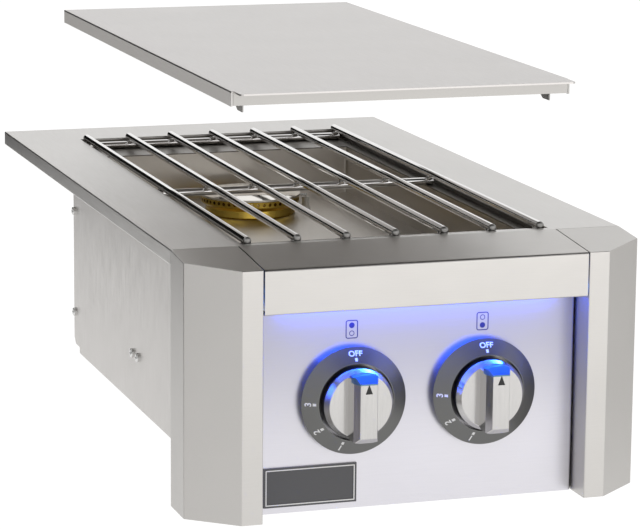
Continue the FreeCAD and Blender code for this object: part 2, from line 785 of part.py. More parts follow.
def make_bezel(x):
    profile = [
        (BEZEL_BASE_R, 0),
        (BEZEL_R, BEZEL_RIM),
        (BEZEL_HOLE_R + BEZEL_LIP, BEZEL_RISE),
        (BEZEL_HOLE_R, BEZEL_RISE),
        (BEZEL_HOLE_R, BEZEL_RISE - BEZEL_WALL),
        (BEZEL_R - 1.5 * BEZEL_WALL, BEZEL_RIM - BEZEL_WALL / 2),
        (BEZEL_BASE_R - BEZEL_WALL, 0),
    ]
    return turned(profile, (x, PANEL_Y, KNOB_Z), (0, -1, 0))


def make_knob(x):
    profile = [
        (0, KNOB_FACE),
        (KNOB_FACE_R, KNOB_FACE),
        (KNOB_R, KNOB_RIM),
        (KNOB_R, KNOB_BACK),
        (KNOB_R - KNOB_WALL, KNOB_BACK),
        (KNOB_R - KNOB_WALL, KNOB_FACE - KNOB_FACE_WALL),
        (HUB_R, KNOB_FACE - KNOB_FACE_WALL),
        (HUB_R, HUB_BACK),
        (0, HUB_BACK),
    ]
    skirt = turned(profile, (x, PANEL_Y, KNOB_Z), (0, -1, 0))

    def section(base, shoulder, front):
        return [(-base / 2, KNOB_FACE - 1), (-shoulder / 2, GRIP_SHOULDER), (-front / 2, GRIP_FRONT),
                (front / 2, GRIP_FRONT), (shoulder / 2, GRIP_SHOULDER), (base / 2, KNOB_FACE - 1)]

    reach = KNOB_R + 2
    across = [(x + a, PANEL_Y - b) for a, b in section(GRIP_BASE_W, GRIP_SHOULDER_W, GRIP_FRONT_W)]
    along = [(PANEL_Y - b, KNOB_Z + a) for a, b in section(2 * reach, GRIP_SHOULDER_L, GRIP_FRONT_L)]
    grip = prism(across, "z", KNOB_Z - reach, KNOB_Z + reach)
    grip = grip.common(prism(along, "x", x - reach, x + reach))
    limit = turned([(0, KNOB_FACE - 2), (KNOB_FACE_R, KNOB_FACE - 2), (KNOB_FACE_R, KNOB_FACE),
                    (KNOB_R - GRIP_EDGE_IN, KNOB_FACE + GRIP_FLARE), (KNOB_R - GRIP_EDGE_IN, GRIP_FRONT + 1),
                    (0, GRIP_FRONT + 1)],
                   (x, PANEL_Y, KNOB_Z), (0, -1, 0))
    grip = grip.common(limit)
    socket = rod((x, PANEL_Y - HUB_BACK + 1, KNOB_Z), (0, -1, 0), STEM_BORE_R,
                 KNOB_FACE - HUB_BACK + 1 + SOCKET_GAP)
    knob = without(fused([skirt, grip]), [socket])

    def outer_edge(b):
        out = PANEL_Y - b.YMin
        shoulder = abs(out - GRIP_SHOULDER) < NEAR and b.ZLength > GRIP_FRONT_L
        round_edge = b.YLength < NEAR and (abs(out - KNOB_FACE) < NEAR and b.ZLength > 2 * GRIP_BASE_W
                                           or abs(out - KNOB_RIM) < NEAR)
        return out > GRIP_FRONT - NEAR or shoulder or round_edge and b.XLength > NEAR

    return rounded(knob, KNOB_EDGE_R, outer_edge)


def make_pointer(x):
    low = KNOB_Z + POINTER_UP
    front = PANEL_Y - GRIP_FRONT
    triangle = [(x - POINTER_W / 2, low), (x + POINTER_W / 2, low), (x, low + POINTER_H)]
    return prism(triangle, "y", front - POINTER_T, front)


def make_stem(x):
    length = KNOB_FACE + STEM_BACK
    shaft = rod((x, PANEL_Y + STEM_BACK, KNOB_Z), (0, -1, 0), STEM_R, length)
    flat = box(x - STEM_R, x + STEM_R, PANEL_Y - KNOB_FACE - 1, PANEL_Y - HUB_BACK - WASHER_T,
               KNOB_Z - STEM_R, KNOB_Z - STEM_FLAT)
    return without(shaft, [flat])


def make_washer(x):
    return pipe((x, PANEL_Y - HUB_BACK + WASHER_T, KNOB_Z), (0, -1, 0), BOSS_R, STEM_BORE_R, WASHER_T)


def make_spring(x):
    """A compression spring, coiled between the valve's boss and the push washer."""
    gap = SPRING_WIRE_R + SPRING_END_GAP
    height = SPRING_LEN - 2 * gap
    steps = SPRING_TURNS * 4
    pts = []
    for i in range(steps * 2 + 1):
        angle = math.pi * i / 4
        pts.append(Vec(x + SPRING_R * math.cos(angle), PANEL_Y - BOSS_OUT - gap - height * i / (steps * 2),
                       KNOB_Z + SPRING_R * math.sin(angle)))
    edges = [Part.Arc(pts[2 * i], pts[2 * i + 1], pts[2 * i + 2]).toShape() for i in range(steps)]
    path = Part.Wire(edges)
    start = path.Edges[0]
    tangent = start.tangentAt(start.FirstParameter)
    circle = Part.Wire(Part.makeCircle(SPRING_WIRE_R, pts[0], tangent))
    return path.makePipeShell([circle], True, False)


def make_valve(x):
    half = VALVE_W / 2
    body = box(x - half, x + half, PANEL_BACK + VALVE_FLANGE_T, VALVE_BACK,
               KNOB_Z - VALVE_H / 2, KNOB_Z + VALVE_H / 2)
    body = body.makeFillet(VALVE_EDGE_R, [e for e in body.Edges if e.BoundBox.YLength > VALVE_L / 2])
    flange = box(x - VALVE_FLANGE_W / 2, x + VALVE_FLANGE_W / 2, PANEL_BACK, PANEL_BACK + VALVE_FLANGE_T,
                 KNOB_Z - VALVE_H / 2, KNOB_Z + VALVE_H / 2)
    boss = rod((x, PANEL_BACK, KNOB_Z), (0, -1, 0), BOSS_R, FRAME_T + BOSS_OUT)
    inlet = rod((x, MANIFOLD_Y, KNOB_Z - VALVE_H / 2 + 1), (0, 0, -1), VALVE_BOSS_R, VALVE_BOSS_L + 1)
    bore = rod((x, PANEL_Y - BOSS_OUT - 1, KNOB_Z), (0, 1, 0), STEM_BORE_R,
               BOSS_OUT + 1 + STEM_BACK + PUSH_TRAVEL + 1)
    outlet = rod((x, VALVE_BACK + 1, KNOB_Z), (0, -1, 0), ORIFICE_SPIGOT_R + SCREW_GAP, ORIFICE_SPIGOT_L + 2)
    cuts = [bore, outlet]
    for side in (-1, 1):
        cuts.append(rod((x + side * VALVE_SCREW_X, PANEL_BACK - 1, KNOB_Z), (0, 1, 0), HOLE_R,
                        VALVE_SCREW_L + 2))
    return without(fused([body, flange, boss, inlet]), cuts)


def make_orifice(x):
    hood = rod((x, VALVE_BACK, KNOB_Z), (0, 1, 0), ORIFICE_R, ORIFICE_L)
    tip = [e for e in hood.Edges if abs(e.BoundBox.YMin - VALVE_BACK - ORIFICE_L) < NEAR]
    hood = hood.makeChamfer(ORIFICE_CHAMFER, tip)
    spigot = rod((x, VALVE_BACK, KNOB_Z), (0, -1, 0), ORIFICE_SPIGOT_R, ORIFICE_SPIGOT_L)
    bore = rod((x, VALVE_BACK - ORIFICE_SPIGOT_L - 1, KNOB_Z), (0, 1, 0), ORIFICE_BORE_R,
               ORIFICE_L + ORIFICE_SPIGOT_L + 2)
    return without(fused([hood, spigot]), [bore])


def make_spark_switch(x):
    low = KNOB_Z + VALVE_H / 2
    front = PANEL_BACK + SWITCH_SET
    case = box(x - SWITCH_W / 2, x + SWITCH_W / 2, front, front + SWITCH_L, low, low + SWITCH_H)
    upper = [e for e in case.Edges if abs(e.BoundBox.ZMin - low - SWITCH_H) < NEAR]
    return case.makeFillet(SWITCH_EDGE_R, upper)


# Gas supply

def make_manifold():
    body = pipe((MANIFOLD_LEFT, MANIFOLD_Y, MANIFOLD_Z), (1, 0, 0), MANIFOLD_R, MANIFOLD_R - PIPE_WALL,
                MANIFOLD_RIGHT - MANIFOLD_LEFT)
    cap = rod((MANIFOLD_LEFT - END_CAP_T, MANIFOLD_Y, MANIFOLD_Z), (1, 0, 0), MANIFOLD_R + END_CAP_WALL,
              END_CAP_T + END_CAP_L)
    hollow = rod((MANIFOLD_LEFT, MANIFOLD_Y, MANIFOLD_Z), (1, 0, 0), MANIFOLD_R - PIPE_WALL, END_CAP_L + 1)
    cap = cap.cut(hollow)
    cuts = [rod((x, MANIFOLD_Y, MANIFOLD_Z), (0, 0, 1), VALVE_BOSS_R + RUN_GAP, MANIFOLD_R + 2)
            for x in VALVES.values()]
    return without(fused([body, cap]), cuts)


def make_valve_clamps():
    shapes = []
    outer = MANIFOLD_R + SCREW_GAP + CLAMP_T
    low = KNOB_Z - VALVE_H / 2
    for x in VALVES.values():
        start = x - CLAMP_W / 2
        strap = rod((start, MANIFOLD_Y, MANIFOLD_Z), (1, 0, 0), outer, CLAMP_W)
        arms = box(start, start + CLAMP_W, MANIFOLD_Y - outer, MANIFOLD_Y + outer, MANIFOLD_Z, low)
        inner = MANIFOLD_R + SCREW_GAP
        bore = rod((start - 1, MANIFOLD_Y, MANIFOLD_Z), (1, 0, 0), inner, CLAMP_W + 2)
        strap = strap.fuse(arms).cut(bore)
        upper = box(start - 1, start + CLAMP_W + 1, MANIFOLD_Y - inner, MANIFOLD_Y + inner,
                    MANIFOLD_Z, low + 1)
        above = box(start - 1, start + CLAMP_W + 1, MANIFOLD_Y - outer - 1, MANIFOLD_Y + outer + 1,
                    low, low + outer)
        shapes.append(strap.cut([upper, above]).removeSplitter())
    return Part.makeCompound(shapes)


def supply_route():
    back = BOX_BACK - BOX_T - INLET_HEX_L
    return [(MANIFOLD_RIGHT, MANIFOLD_Y, MANIFOLD_Z), (SUPPLY_X, MANIFOLD_Y, MANIFOLD_Z),
            (SUPPLY_X, back, MANIFOLD_Z)]


def make_supply_pipe():
    outer = swept(supply_route(), SUPPLY_R)
    inner = swept(supply_route(), SUPPLY_R - PIPE_WALL)
    plug = pipe((MANIFOLD_RIGHT, MANIFOLD_Y, MANIFOLD_Z), (1, 0, 0), MANIFOLD_R, SUPPLY_R, PLUG_L)
    return fused([outer.cut(inner), plug])


def make_inlet():
    start = BOX_BACK - BOX_T - INLET_HEX_L
    corners = [(SUPPLY_X + INLET_HEX_R * math.cos(math.radians(60 * i)),
                MANIFOLD_Z + INLET_HEX_R * math.sin(math.radians(60 * i))) for i in range(6)]
    hexagon = prism(corners, "y", start, start + INLET_HEX_L)
    neck = rod((SUPPLY_X, start + INLET_HEX_L, MANIFOLD_Z), (0, 1, 0), INLET_THREAD_R - INLET_STEP, BOX_T)
    thread = rod((SUPPLY_X, BOX_BACK, MANIFOLD_Z), (0, 1, 0), INLET_THREAD_R, INLET_THREAD_L)
    length = INLET_HEX_L + BOX_T + INLET_THREAD_L
    bore = rod((SUPPLY_X, start - 1, MANIFOLD_Z), (0, 1, 0), INLET_BORE_R, length + 2)
    return without(fused([hexagon, neck, thread]), [bore])


# Mixing tubes and air shutters

def tube_route(side):
    x = VALVES[side]
    if side == "right":
        y = FRONT_BURNER_Y
        knee = FRONT_BURNER_Y - TUBE_KNEE
    else:
        y = REAR_BURNER_Y
        knee = REAR_BURNER_Y - TUBE_KNEE
    return [(x, TUBE_START, KNOB_Z), (x, knee, KNOB_Z), (0, y, KNOB_Z), (0, y, BOWL_BOTTOM + TUBE_RISE)]


def window_cuts(x, inner, outer):
    """Two air windows through a ring about the mixing tube."""
    cuts = []
    start = SHUTTER_Y + (SHUTTER_L - WINDOW_L) / 2
    for first in (-WINDOW_ANGLE / 2, 180 - WINDOW_ANGLE / 2):
        wedge = Part.makeCylinder(outer, WINDOW_L, Vec(0, 0, 0), Vec(0, 0, 1), WINDOW_ANGLE)
        wedge = wedge.cut(Part.makeCylinder(inner, WINDOW_L))
        wedge.rotate(Vec(0, 0, 0), Vec(0, 0, 1), first)
        about = FreeCAD.Placement(Vec(x, start, KNOB_Z), FreeCAD.Rotation(Vec(0, 0, 1), Vec(0, 1, 0)))
        wedge.Placement = about.multiply(wedge.Placement)
        cuts.append(wedge)
    return cuts


def make_mixing_tube(side):
    x = VALVES[side]
    shell = swept(tube_route(side), TUBE_R).cut(swept(tube_route(side), TUBE_R - TUBE_WALL))
    face = pipe((x, TUBE_START, KNOB_Z), (0, 1, 0), TUBE_R, ORIFICE_R + BOSS_GAP, TUBE_WALL)
    return without(fused([shell, face]), window_cuts(x, TUBE_R - TUBE_WALL - 1, TUBE_R + 1))


def make_shutter(side):
    x = VALVES[side]
    inner = TUBE_R + RUN_GAP
    outer = inner + SHUTTER_T
    ring = pipe((x, SHUTTER_Y, KNOB_Z), (0, 1, 0), outer, inner, SHUTTER_L)
    back = SHUTTER_Y + SHUTTER_L
    tab = box(x - SHUTTER_TAB_W / 2, x + SHUTTER_TAB_W / 2, back - SHUTTER_TAB_L, back,
              KNOB_Z + inner + SHUTTER_T / 2, KNOB_Z + outer + SHUTTER_TAB_H)
    return without(fused([ring, tab]), window_cuts(x, inner - 1, outer + 1))


def make_brace():
    """A cross strap that holds the rear burner's mixing tube, screwed to both side panels."""
    half = HALF_BAY - BOX_T
    low = MANIFOLD_Z - SUPPLY_R
    tab_low = -BRACE_DROP - BRACE_TAB_L
    line = [(-half, tab_low), (-half, low), (half, low), (half, tab_low)]
    strap = prism(folded(line, -BOX_T), "y", BRACE_FRONT, BRACE_FRONT + BRACE_W)
    x = VALVES["left"]
    seat = box(x - TUBE_R, x + TUBE_R, BRACE_FRONT, BRACE_FRONT + BRACE_SEAT_L, low, KNOB_Z - BRACE_SEAT_LOW)
    cuts = [rod((x, BRACE_FRONT - 1, KNOB_Z), (0, 1, 0), TUBE_R + SCREW_GAP, BRACE_W + 2)]
    for y, z in side_screw_places()[2:]:
        cuts.append(rod((-half - 1, y, z), (1, 0, 0), HOLE_R, BOX_T + 2))
        cuts.append(rod((half - BOX_T - 1, y, z), (1, 0, 0), HOLE_R, BOX_T + 2))
    return without(fused([strap, seat]), cuts)


# Burners

def burner_screw_places(y):
    reach = BURNER_SCREW_PCD / 2 * math.sqrt(0.5)
    return [(sx * reach, y + sy * reach) for sx in (-1, 1) for sy in (-1, 1)]


def make_ring(y):
    head = RING_H - RING_HEAD_H
    profile = [
        (RING_BORE_R, 0),
        (RING_FOOT_R, 0),
        (RING_FOOT_R + RING_FOOT_OUT, RING_FOOT_OUT),
        (RING_FOOT_R, RING_WAIST_UP),
        (RING_R, head),
        (RING_R, RING_H),
        (RING_BORE_R, RING_H),
    ]
    ring = turned(profile, (0, y, DECK_Z), (0, 0, 1))
    floor = pipe((0, y, DECK_Z), (0, 0, 1), RING_BORE_R, DECK_HOLE_R, RING_FLOOR_T)
    height = DECK_Z + (head + RING_H) / 2
    ports = []
    for i in range(PORT_COUNT):
        angle = 2 * math.pi * i / PORT_COUNT
        direction = (math.cos(angle), math.sin(angle), 0)
        start = ((RING_BORE_R - 1) * direction[0], y + (RING_BORE_R - 1) * direction[1], height)
        ports.append(rod(start, direction, PORT_R, RING_R - RING_BORE_R + 2))
    for x, sy in burner_screw_places(y):
        ports.append(rod((x, sy, DECK_Z - 1), (0, 0, 1), HOLE_R, RING_FLOOR_T + 2))
    return fused([ring, floor]).cut(ports)


def make_cap(y):
    spigot = RING_BORE_R - CAP_SPIGOT_GAP
    profile = [
        (0, 0),
        (spigot - CAP_SPIGOT_T, 0),
        (spigot - CAP_SPIGOT_T, -CAP_SPIGOT_L),
        (spigot, -CAP_SPIGOT_L),
        (spigot, 0),
        (CAP_R - CAP_EDGE, 0),
        (CAP_R, CAP_EDGE),
        (CAP_R, CAP_H),
        (0, CAP_H),
    ]
    blank = turned(profile, (0, y, RING_TOP), (0, 0, 1))
    dome_r = (CAP_R ** 2 + CAP_DOME ** 2) / (2 * CAP_DOME)
    return blank.common(Part.makeSphere(dome_r, Vec(0, y, RING_TOP + CAP_H - dome_r)))


def make_bowl(y):
    inner = BOWL_NECK_R - BOWL_NECK_WALL
    flange = BOWL_FLANGE_T
    profile = [
        (inner, 0),
        (BOWL_R, 0),
        (BOWL_R, -flange),
        (BOWL_NECK_R + BOWL_CONE, -flange),
        (BOWL_NECK_R, -flange - BOWL_CONE),
        (BOWL_NECK_R, -BOWL_NECK_L),
        (inner, -BOWL_NECK_L),
    ]
    bowl = turned(profile, (0, y, DECK_UNDER), (0, 0, 1))
    cuts = [rod((x, sy, DECK_UNDER - flange - 2), (0, 0, 1), HOLE_R, flange + 3)
            for x, sy in burner_screw_places(y)]
    return without(bowl, cuts)


def make_burner_screws():
    shapes = []
    for y in BURNERS.values():
        for x, sy in burner_screw_places(y):
            length = BOWL_FLANGE_T + BOX_T + RING_FLOOR_T
            shapes.append(screw((x, sy, DECK_UNDER - BOWL_FLANGE_T), (0, 0, -1), length))
    return Part.makeCompound(shapes)


# Igniters, module, leads

def make_insulator(y):
    low = DECK_Z - INSULATOR_DOWN
    body = pipe((IGNITER_X, y, low), (0, 0, 1), INSULATOR_R, ELECTRODE_R, INSULATOR_DOWN + INSULATOR_UP)
    collar = pipe((IGNITER_X, y, DECK_Z), (0, 0, 1), INSULATOR_R + COLLAR_OUT, ELECTRODE_R, COLLAR_H)
    return fused([body, collar])


def make_electrode(y):
    low = DECK_Z - INSULATOR_DOWN
    top = DECK_Z + ELECTRODE_UP
    pin = rod((IGNITER_X, y, low), (0, 0, 1), ELECTRODE_R, top - low)
    tip_x = RING_R + SPARK_GAP
    arm = rod((IGNITER_X + ELECTRODE_R, y, top - ELECTRODE_R), (-1, 0, 0), ELECTRODE_R,
              IGNITER_X + ELECTRODE_R - tip_x)
    return fused([pin, arm])


def make_spark_module():
    right = HALF_BAY - BOX_T
    body = box(right - MODULE_W, right, MODULE_Y, MODULE_Y + MODULE_L, MODULE_Z, MODULE_Z + MODULE_H)
    edges = [e for e in body.Edges if e.BoundBox.XMax < right - MODULE_W + NEAR]
    return body.makeFillet(MODULE_EDGE_R, edges)


def lead_route(which):
    x = IGNITER_X
    y = BURNERS[which]
    low = DECK_Z - INSULATOR_DOWN
    end_x = HALF_BAY - BOX_T - MODULE_W / 2
    mid_z = MODULE_Z + MODULE_H / 2
    if which == "rear":
        end_y = MODULE_Y + MODULE_L
        turn = 1
    else:
        end_y = MODULE_Y
        turn = -1
    span = (y - end_y) * turn
    return [
        (x, y, low),
        (x, y, low - 10),
        (x + 8, y - turn * span * 0.16, low - 18),
        (x + 26, y - turn * span * 0.38, low - 20),
        (x + 48, y - turn * span * 0.62, mid_z + 2),
        (end_x, y - turn * span * 0.82, mid_z),
        (end_x, end_y, mid_z),
    ]


# Light and its power jack

def make_light_bar():
    low = -LIGHT_TOP - LIGHT_H + LENS_H
    bar = box(-LIGHT_W / 2, LIGHT_W / 2, PANEL_Y - LIGHT_D, PANEL_Y, low, -LIGHT_TOP)
    front = [e for e in bar.Edges if e.BoundBox.XLength > LIGHT_W / 2
             and e.BoundBox.YMax < PANEL_Y - LIGHT_D + NEAR and e.BoundBox.ZMin > low + NEAR]
    return bar.makeFillet(LIGHT_EDGE_R, front)


def make_light_lens():
    low = -LIGHT_TOP - LIGHT_H
    return box(-LIGHT_W / 2, LIGHT_W / 2, PANEL_Y - LIGHT_D, PANEL_Y, low, low + LENS_H)


def light_lead_route():
    x = -LIGHT_W / 2 + LIGHT_LEAD_IN
    run_x = -HALF_BAY + BOX_T + LIGHT_LEAD_SIDE
    end_y = BOX_BACK - BOX_T - JACK_IN
    run_z = -LIGHT_LEAD_DROP
    return [
        (x, PANEL_Y, LIGHT_MID_Z),
        (x, PANEL_BACK + 14, LIGHT_MID_Z),
        (x - 3, PANEL_BACK + 28, LIGHT_MID_Z - 14),
        (run_x, PANEL_BACK + 40, run_z + 12),
        (run_x, PANEL_BACK + 60, run_z),
        (run_x + 1, PANEL_BACK + 110, run_z - 2),
        (run_x, 160.0, run_z),
        (run_x + 1, 235.0, run_z - 2),
        (run_x, 310.0, run_z),
        (run_x + 1, 380.0, run_z - 2),
        (run_x, 430.0, run_z - 10),
        (run_x + 6, 460.0, run_z - 32),
        (JACK_X, 482.0, JACK_Z),
        (JACK_X, end_y, JACK_Z),
    ]


def make_jack():
    depth = BOX_T + JACK_IN - JACK_FLOOR
    inside = pipe((JACK_X, BOX_BACK, JACK_Z), (0, -1, 0), JACK_R, JACK_BORE_R, depth)
    floor = rod((JACK_X, BOX_BACK - depth, JACK_Z), (0, -1, 0), JACK_R, JACK_FLOOR)
    collar = pipe((JACK_X, BOX_BACK, JACK_Z), (0, 1, 0), JACK_R + JACK_COLLAR, JACK_BORE_R, JACK_OUT)
    return fused([inside, floor, collar])


# Fasteners

def make_side_screws():
    left = Part.makeCompound([screw((-HALF_BAY, y, z), (-1, 0, 0), BOX_T * 2 + SCREW_SPARE)
                              for y, z in side_screw_places()])
    return Part.makeCompound(left.Solids + mirrored(left).Solids)


def make_valve_screws():
    length = FRAME_T + VALVE_SCREW_L
    return Part.makeCompound([screw((x + side * VALVE_SCREW_X, PANEL_Y, KNOB_Z), (0, -1, 0), length)
                              for x in VALVES.values() for side in (-1, 1)])


def make_base_screws():
    return Part.makeCompound([screw((x, BASE_SCREW_Y, BASE_Z + BOX_T), (0, 0, 1), BOX_T + FRAME_T)
                              for x in base_screw_places()])


def build():
    parts = {}
    parts["top_frame"] = make_top_frame()
    parts["left_column"] = make_left_column()
    parts["right_column"] = mirrored(parts["left_column"])
    parts["header_fascia"] = make_header()
    parts["control_panel"] = make_control_panel()
    parts["badge_plate"] = make_badge()
    parts["left_side_panel"] = make_side_panel()
    parts["right_side_panel"] = mirrored(parts["left_side_panel"])
    parts["back_panel"] = make_back_panel()
    parts["base_plate"] = make_base_plate()
    parts["tub_ledge"] = make_tub_ledge()
    parts["burner_tub"] = make_tub()
    parts["grate_rods"] = make_grate_rods()
    parts["grate_cross_bars"] = make_grate_bars(parts["grate_rods"])
    parts["lid"] = make_lid()
    parts["lid_tabs"] = make_lid_tabs()
    for side, x in VALVES.items():
        parts[side + "_dial_bezel"] = make_bezel(x)
        parts[side + "_knob"] = make_knob(x)
        parts[side + "_knob_pointer"] = make_pointer(x)
        parts[side + "_valve_stem"] = make_stem(x)
        parts[side + "_push_washer"] = make_washer(x)
        parts[side + "_return_spring"] = make_spring(x)
        parts[side + "_gas_valve"] = make_valve(x)
        parts[side + "_mixing_tube"] = make_mixing_tube(side)
        parts[side + "_air_shutter"] = make_shutter(side)
    parts["orifices"] = Part.makeCompound([make_orifice(x) for x in VALVES.values()])
    parts["spark_switches"] = Part.makeCompound([make_spark_switch(x) for x in VALVES.values()])
    parts["gas_manifold"] = make_manifold()
    parts["valve_clamps"] = make_valve_clamps()
    parts["gas_supply_pipe"] = make_supply_pipe()
    parts["gas_inlet_fitting"] = make_inlet()
    parts["tube_brace"] = make_brace()
    for which, y in BURNERS.items():
        parts[which + "_burner_ring"] = make_ring(y)
        parts[which + "_burner_cap"] = make_cap(y)
        parts[which + "_burner_bowl"] = make_bowl(y)
        parts[which + "_ignition_lead"] = swept(lead_route(which), LEAD_R)
    parts["igniter_insulators"] = Part.makeCompound([make_insulator(y) for y in BURNERS.values()])
    parts["igniter_electrodes"] = Part.makeCompound([make_electrode(y) for y in BURNERS.values()])
    parts["spark_module"] = make_spark_module()
    parts["light_bar"] = make_light_bar()
    parts["light_lens"] = make_light_lens()
    parts["light_lead"] = swept(light_lead_route(), LIGHT_LEAD_R)
    parts["power_jack"] = make_jack()
    parts["side_screws"] = make_side_screws()
    parts["valve_screws"] = make_valve_screws()
    parts["burner_screws"] = make_burner_screws()
    parts["base_screws"] = make_base_screws()
    return parts


def main():
    os.makedirs("parts", exist_ok=True)
    parts = build()
    for name, shape in parts.items():
        if not shape.isValid():
            print("not valid:", name)
        shape.exportStep("parts/%s.step" % name)
    print(len(parts), "nodes")


main()
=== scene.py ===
import bpy
import math
from mathutils import Matrix, Vector


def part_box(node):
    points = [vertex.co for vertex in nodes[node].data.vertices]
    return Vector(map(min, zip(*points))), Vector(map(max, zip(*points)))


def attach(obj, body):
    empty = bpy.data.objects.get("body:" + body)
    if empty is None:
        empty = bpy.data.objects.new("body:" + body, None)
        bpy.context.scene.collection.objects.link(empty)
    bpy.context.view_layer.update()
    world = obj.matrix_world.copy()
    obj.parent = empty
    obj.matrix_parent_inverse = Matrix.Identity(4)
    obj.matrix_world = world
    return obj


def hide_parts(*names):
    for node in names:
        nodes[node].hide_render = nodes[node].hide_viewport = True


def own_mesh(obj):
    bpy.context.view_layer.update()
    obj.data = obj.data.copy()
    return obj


# A built in side burner with a flat frame, rod grate, two brass burners and a recessed lit panel.
# Everything is in metres in the CAD frame: X right, Y back, Z up.

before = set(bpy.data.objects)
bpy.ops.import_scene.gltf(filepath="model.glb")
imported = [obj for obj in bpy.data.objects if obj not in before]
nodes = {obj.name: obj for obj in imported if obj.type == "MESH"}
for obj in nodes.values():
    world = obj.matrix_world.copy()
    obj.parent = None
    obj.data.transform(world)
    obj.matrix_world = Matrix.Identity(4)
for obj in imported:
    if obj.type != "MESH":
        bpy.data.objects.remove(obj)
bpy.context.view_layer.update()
MM = 0.001

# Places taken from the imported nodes
BEZEL_BOX = {side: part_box(side + "_dial_bezel") for side in ("left", "right")}
BADGE_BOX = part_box("badge_plate")
LENS_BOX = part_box("light_lens")
PANEL_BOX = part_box("control_panel")
PANEL_Y = PANEL_BOX[0][1]

# Bezel cone, in millimetres: outer edge and inner edge as (radius, height over the panel)
CONE_OUT = (40.6, 6.2)
CONE_IN = (29.5, 13.0)

# Marks, in millimetres
MARK_LIFT = 0.07
FLAT_LIFT = 0.06
TICK_RADIUS = 32.1
TICK_HALF_W = 1.0
TICK_HALF_H = 1.35
TICK_ROWS = 5
WORD_RADIUS = 36.1
OFF_HEIGHT = 4.4
NUMBER_HEIGHT = 5.0
CAPITAL_SHARE = 0.72
BOLD_SHARE = 0.035
SYMBOL_UP = 52.5
SYMBOL_SIZE = (9.6, 14.0)
SYMBOL_CORNER = 1.8
SYMBOL_LINE = 0.75
SPOT_UP = 3.0
SPOT_R = 2.15
SPOT_RING_R = 2.05
SPOT_LINE = 0.55
BADGE_INSET = 2.8
BADGE_CORNER = 0.5
BADGE_LINE = 0.85

# Return springs, in metres
SPRING_TURNS = 5
SPRING_WIRE_R = 0.0006
SPRING_STEPS = 24
SPRING_SIDES = 10


# Noise: waves per metre along a brushed sheet's streaks, and of the clouding over it
STREAK_SCALE = 45.0
CLOUD_SCALE = 14.0


def new_material(name):
    mat = bpy.data.materials.new(name)
    mat.use_nodes = True
    shader = mat.node_tree.nodes["Principled BSDF"]
    return mat, mat.node_tree.nodes, mat.node_tree.links, shader


def noise_at(tree_nodes, links, scale, detail=2.0):
    """Noise in object space, with its own scale along each axis."""
    coord = tree_nodes.new("ShaderNodeTexCoord")
    mapping = tree_nodes.new("ShaderNodeMapping")
    mapping.inputs["Scale"].default_value = scale
    noise = tree_nodes.new("ShaderNodeTexNoise")
    noise.inputs["Scale"].default_value = 1.0
    noise.inputs["Detail"].default_value = detail
    links.new(coord.outputs["Object"], mapping.inputs["Vector"])
    links.new(mapping.outputs["Vector"], noise.inputs["Vector"])
    return noise.outputs["Fac"]


def ramp(tree_nodes, links, value, low, high):
    """Map noise about a half onto a range."""
    node = tree_nodes.new("ShaderNodeMapRange")
    node.inputs["From Min"].default_value = 0.3
    node.inputs["From Max"].default_value = 0.7
    node.inputs["To Min"].default_value = low
    node.inputs["To Max"].default_value = high
    links.new(value, node.inputs["Value"])
    return node.outputs["Result"]


def tinted(tree_nodes, links, value, color, spread):
    """A colour made a little darker and lighter by a value."""
    mix = tree_nodes.new("ShaderNodeMix")
    mix.data_type = "RGBA"
    mix.inputs["A"].default_value = [c * (1 - spread) for c in color] + [1]
    mix.inputs["B"].default_value = [min(1, c * (1 + spread)) for c in color] + [1]
    links.new(value, mix.inputs["Factor"])
    return mix.outputs["Result"]


def bumped(tree_nodes, links, value, distance):
    bump = tree_nodes.new("ShaderNodeBump")
    bump.inputs["Strength"].default_value = 1.0
    bump.inputs["Distance"].default_value = distance
    links.new(value, bump.inputs["Height"])
    return bump.outputs["Normal"]


def metal(name, color, rough, grain="x", fine=2600.0, spread=0.04, rough_spread=0.05, bump=0.000004,
          cloud=0.03, metallic=1.0):
    """Brushed metal: streaks along one axis, with soft clouding over the sheet."""
    mat, n, links, shader = new_material(name)
    scale = {"x": (STREAK_SCALE, fine, fine), "y": (fine, STREAK_SCALE, fine),
             "z": (fine, fine, STREAK_SCALE), "none": (fine, fine, fine)}[grain]
    streaks = noise_at(n, links, scale, 3.0)
    clouds = noise_at(n, links, (CLOUD_SCALE, CLOUD_SCALE, CLOUD_SCALE))
    mixed = n.new("ShaderNodeMix")
    mixed.inputs["Factor"].default_value = cloud / (cloud + spread)
    links.new(streaks, mixed.inputs["A"])
    links.new(clouds, mixed.inputs["B"])
    links.new(tinted(n, links, ramp(n, links, mixed.outputs["Result"], 0.0, 1.0), color, spread),
              shader.inputs["Base Color"])
    links.new(ramp(n, links, streaks, rough - rough_spread, rough + rough_spread), shader.inputs["Roughness"])
    if bump:
        links.new(bumped(n, links, streaks, bump), shader.inputs["Normal"])
    shader.inputs["Metallic"].default_value = metallic
    return mat


def plain(name, color, rough, metallic=0.0, grain=900.0, spread=0.08, bump=0.00001):
    """Painted, moulded or cast stuff with a fine grain."""
    mat, n, links, shader = new_material(name)
    speck = noise_at(n, links, (grain, grain, grain), 3.0)
    links.new(tinted(n, links, ramp(n, links, speck, 0.0, 1.0), color, spread), shader.inputs["Base Color"])
    links.new(ramp(n, links, speck, max(0.02, rough - 0.06), rough + 0.06), shader.inputs["Roughness"])
    if bump:
        links.new(bumped(n, links, speck, bump), shader.inputs["Normal"])
    shader.inputs["Metallic"].default_value = metallic
    return mat


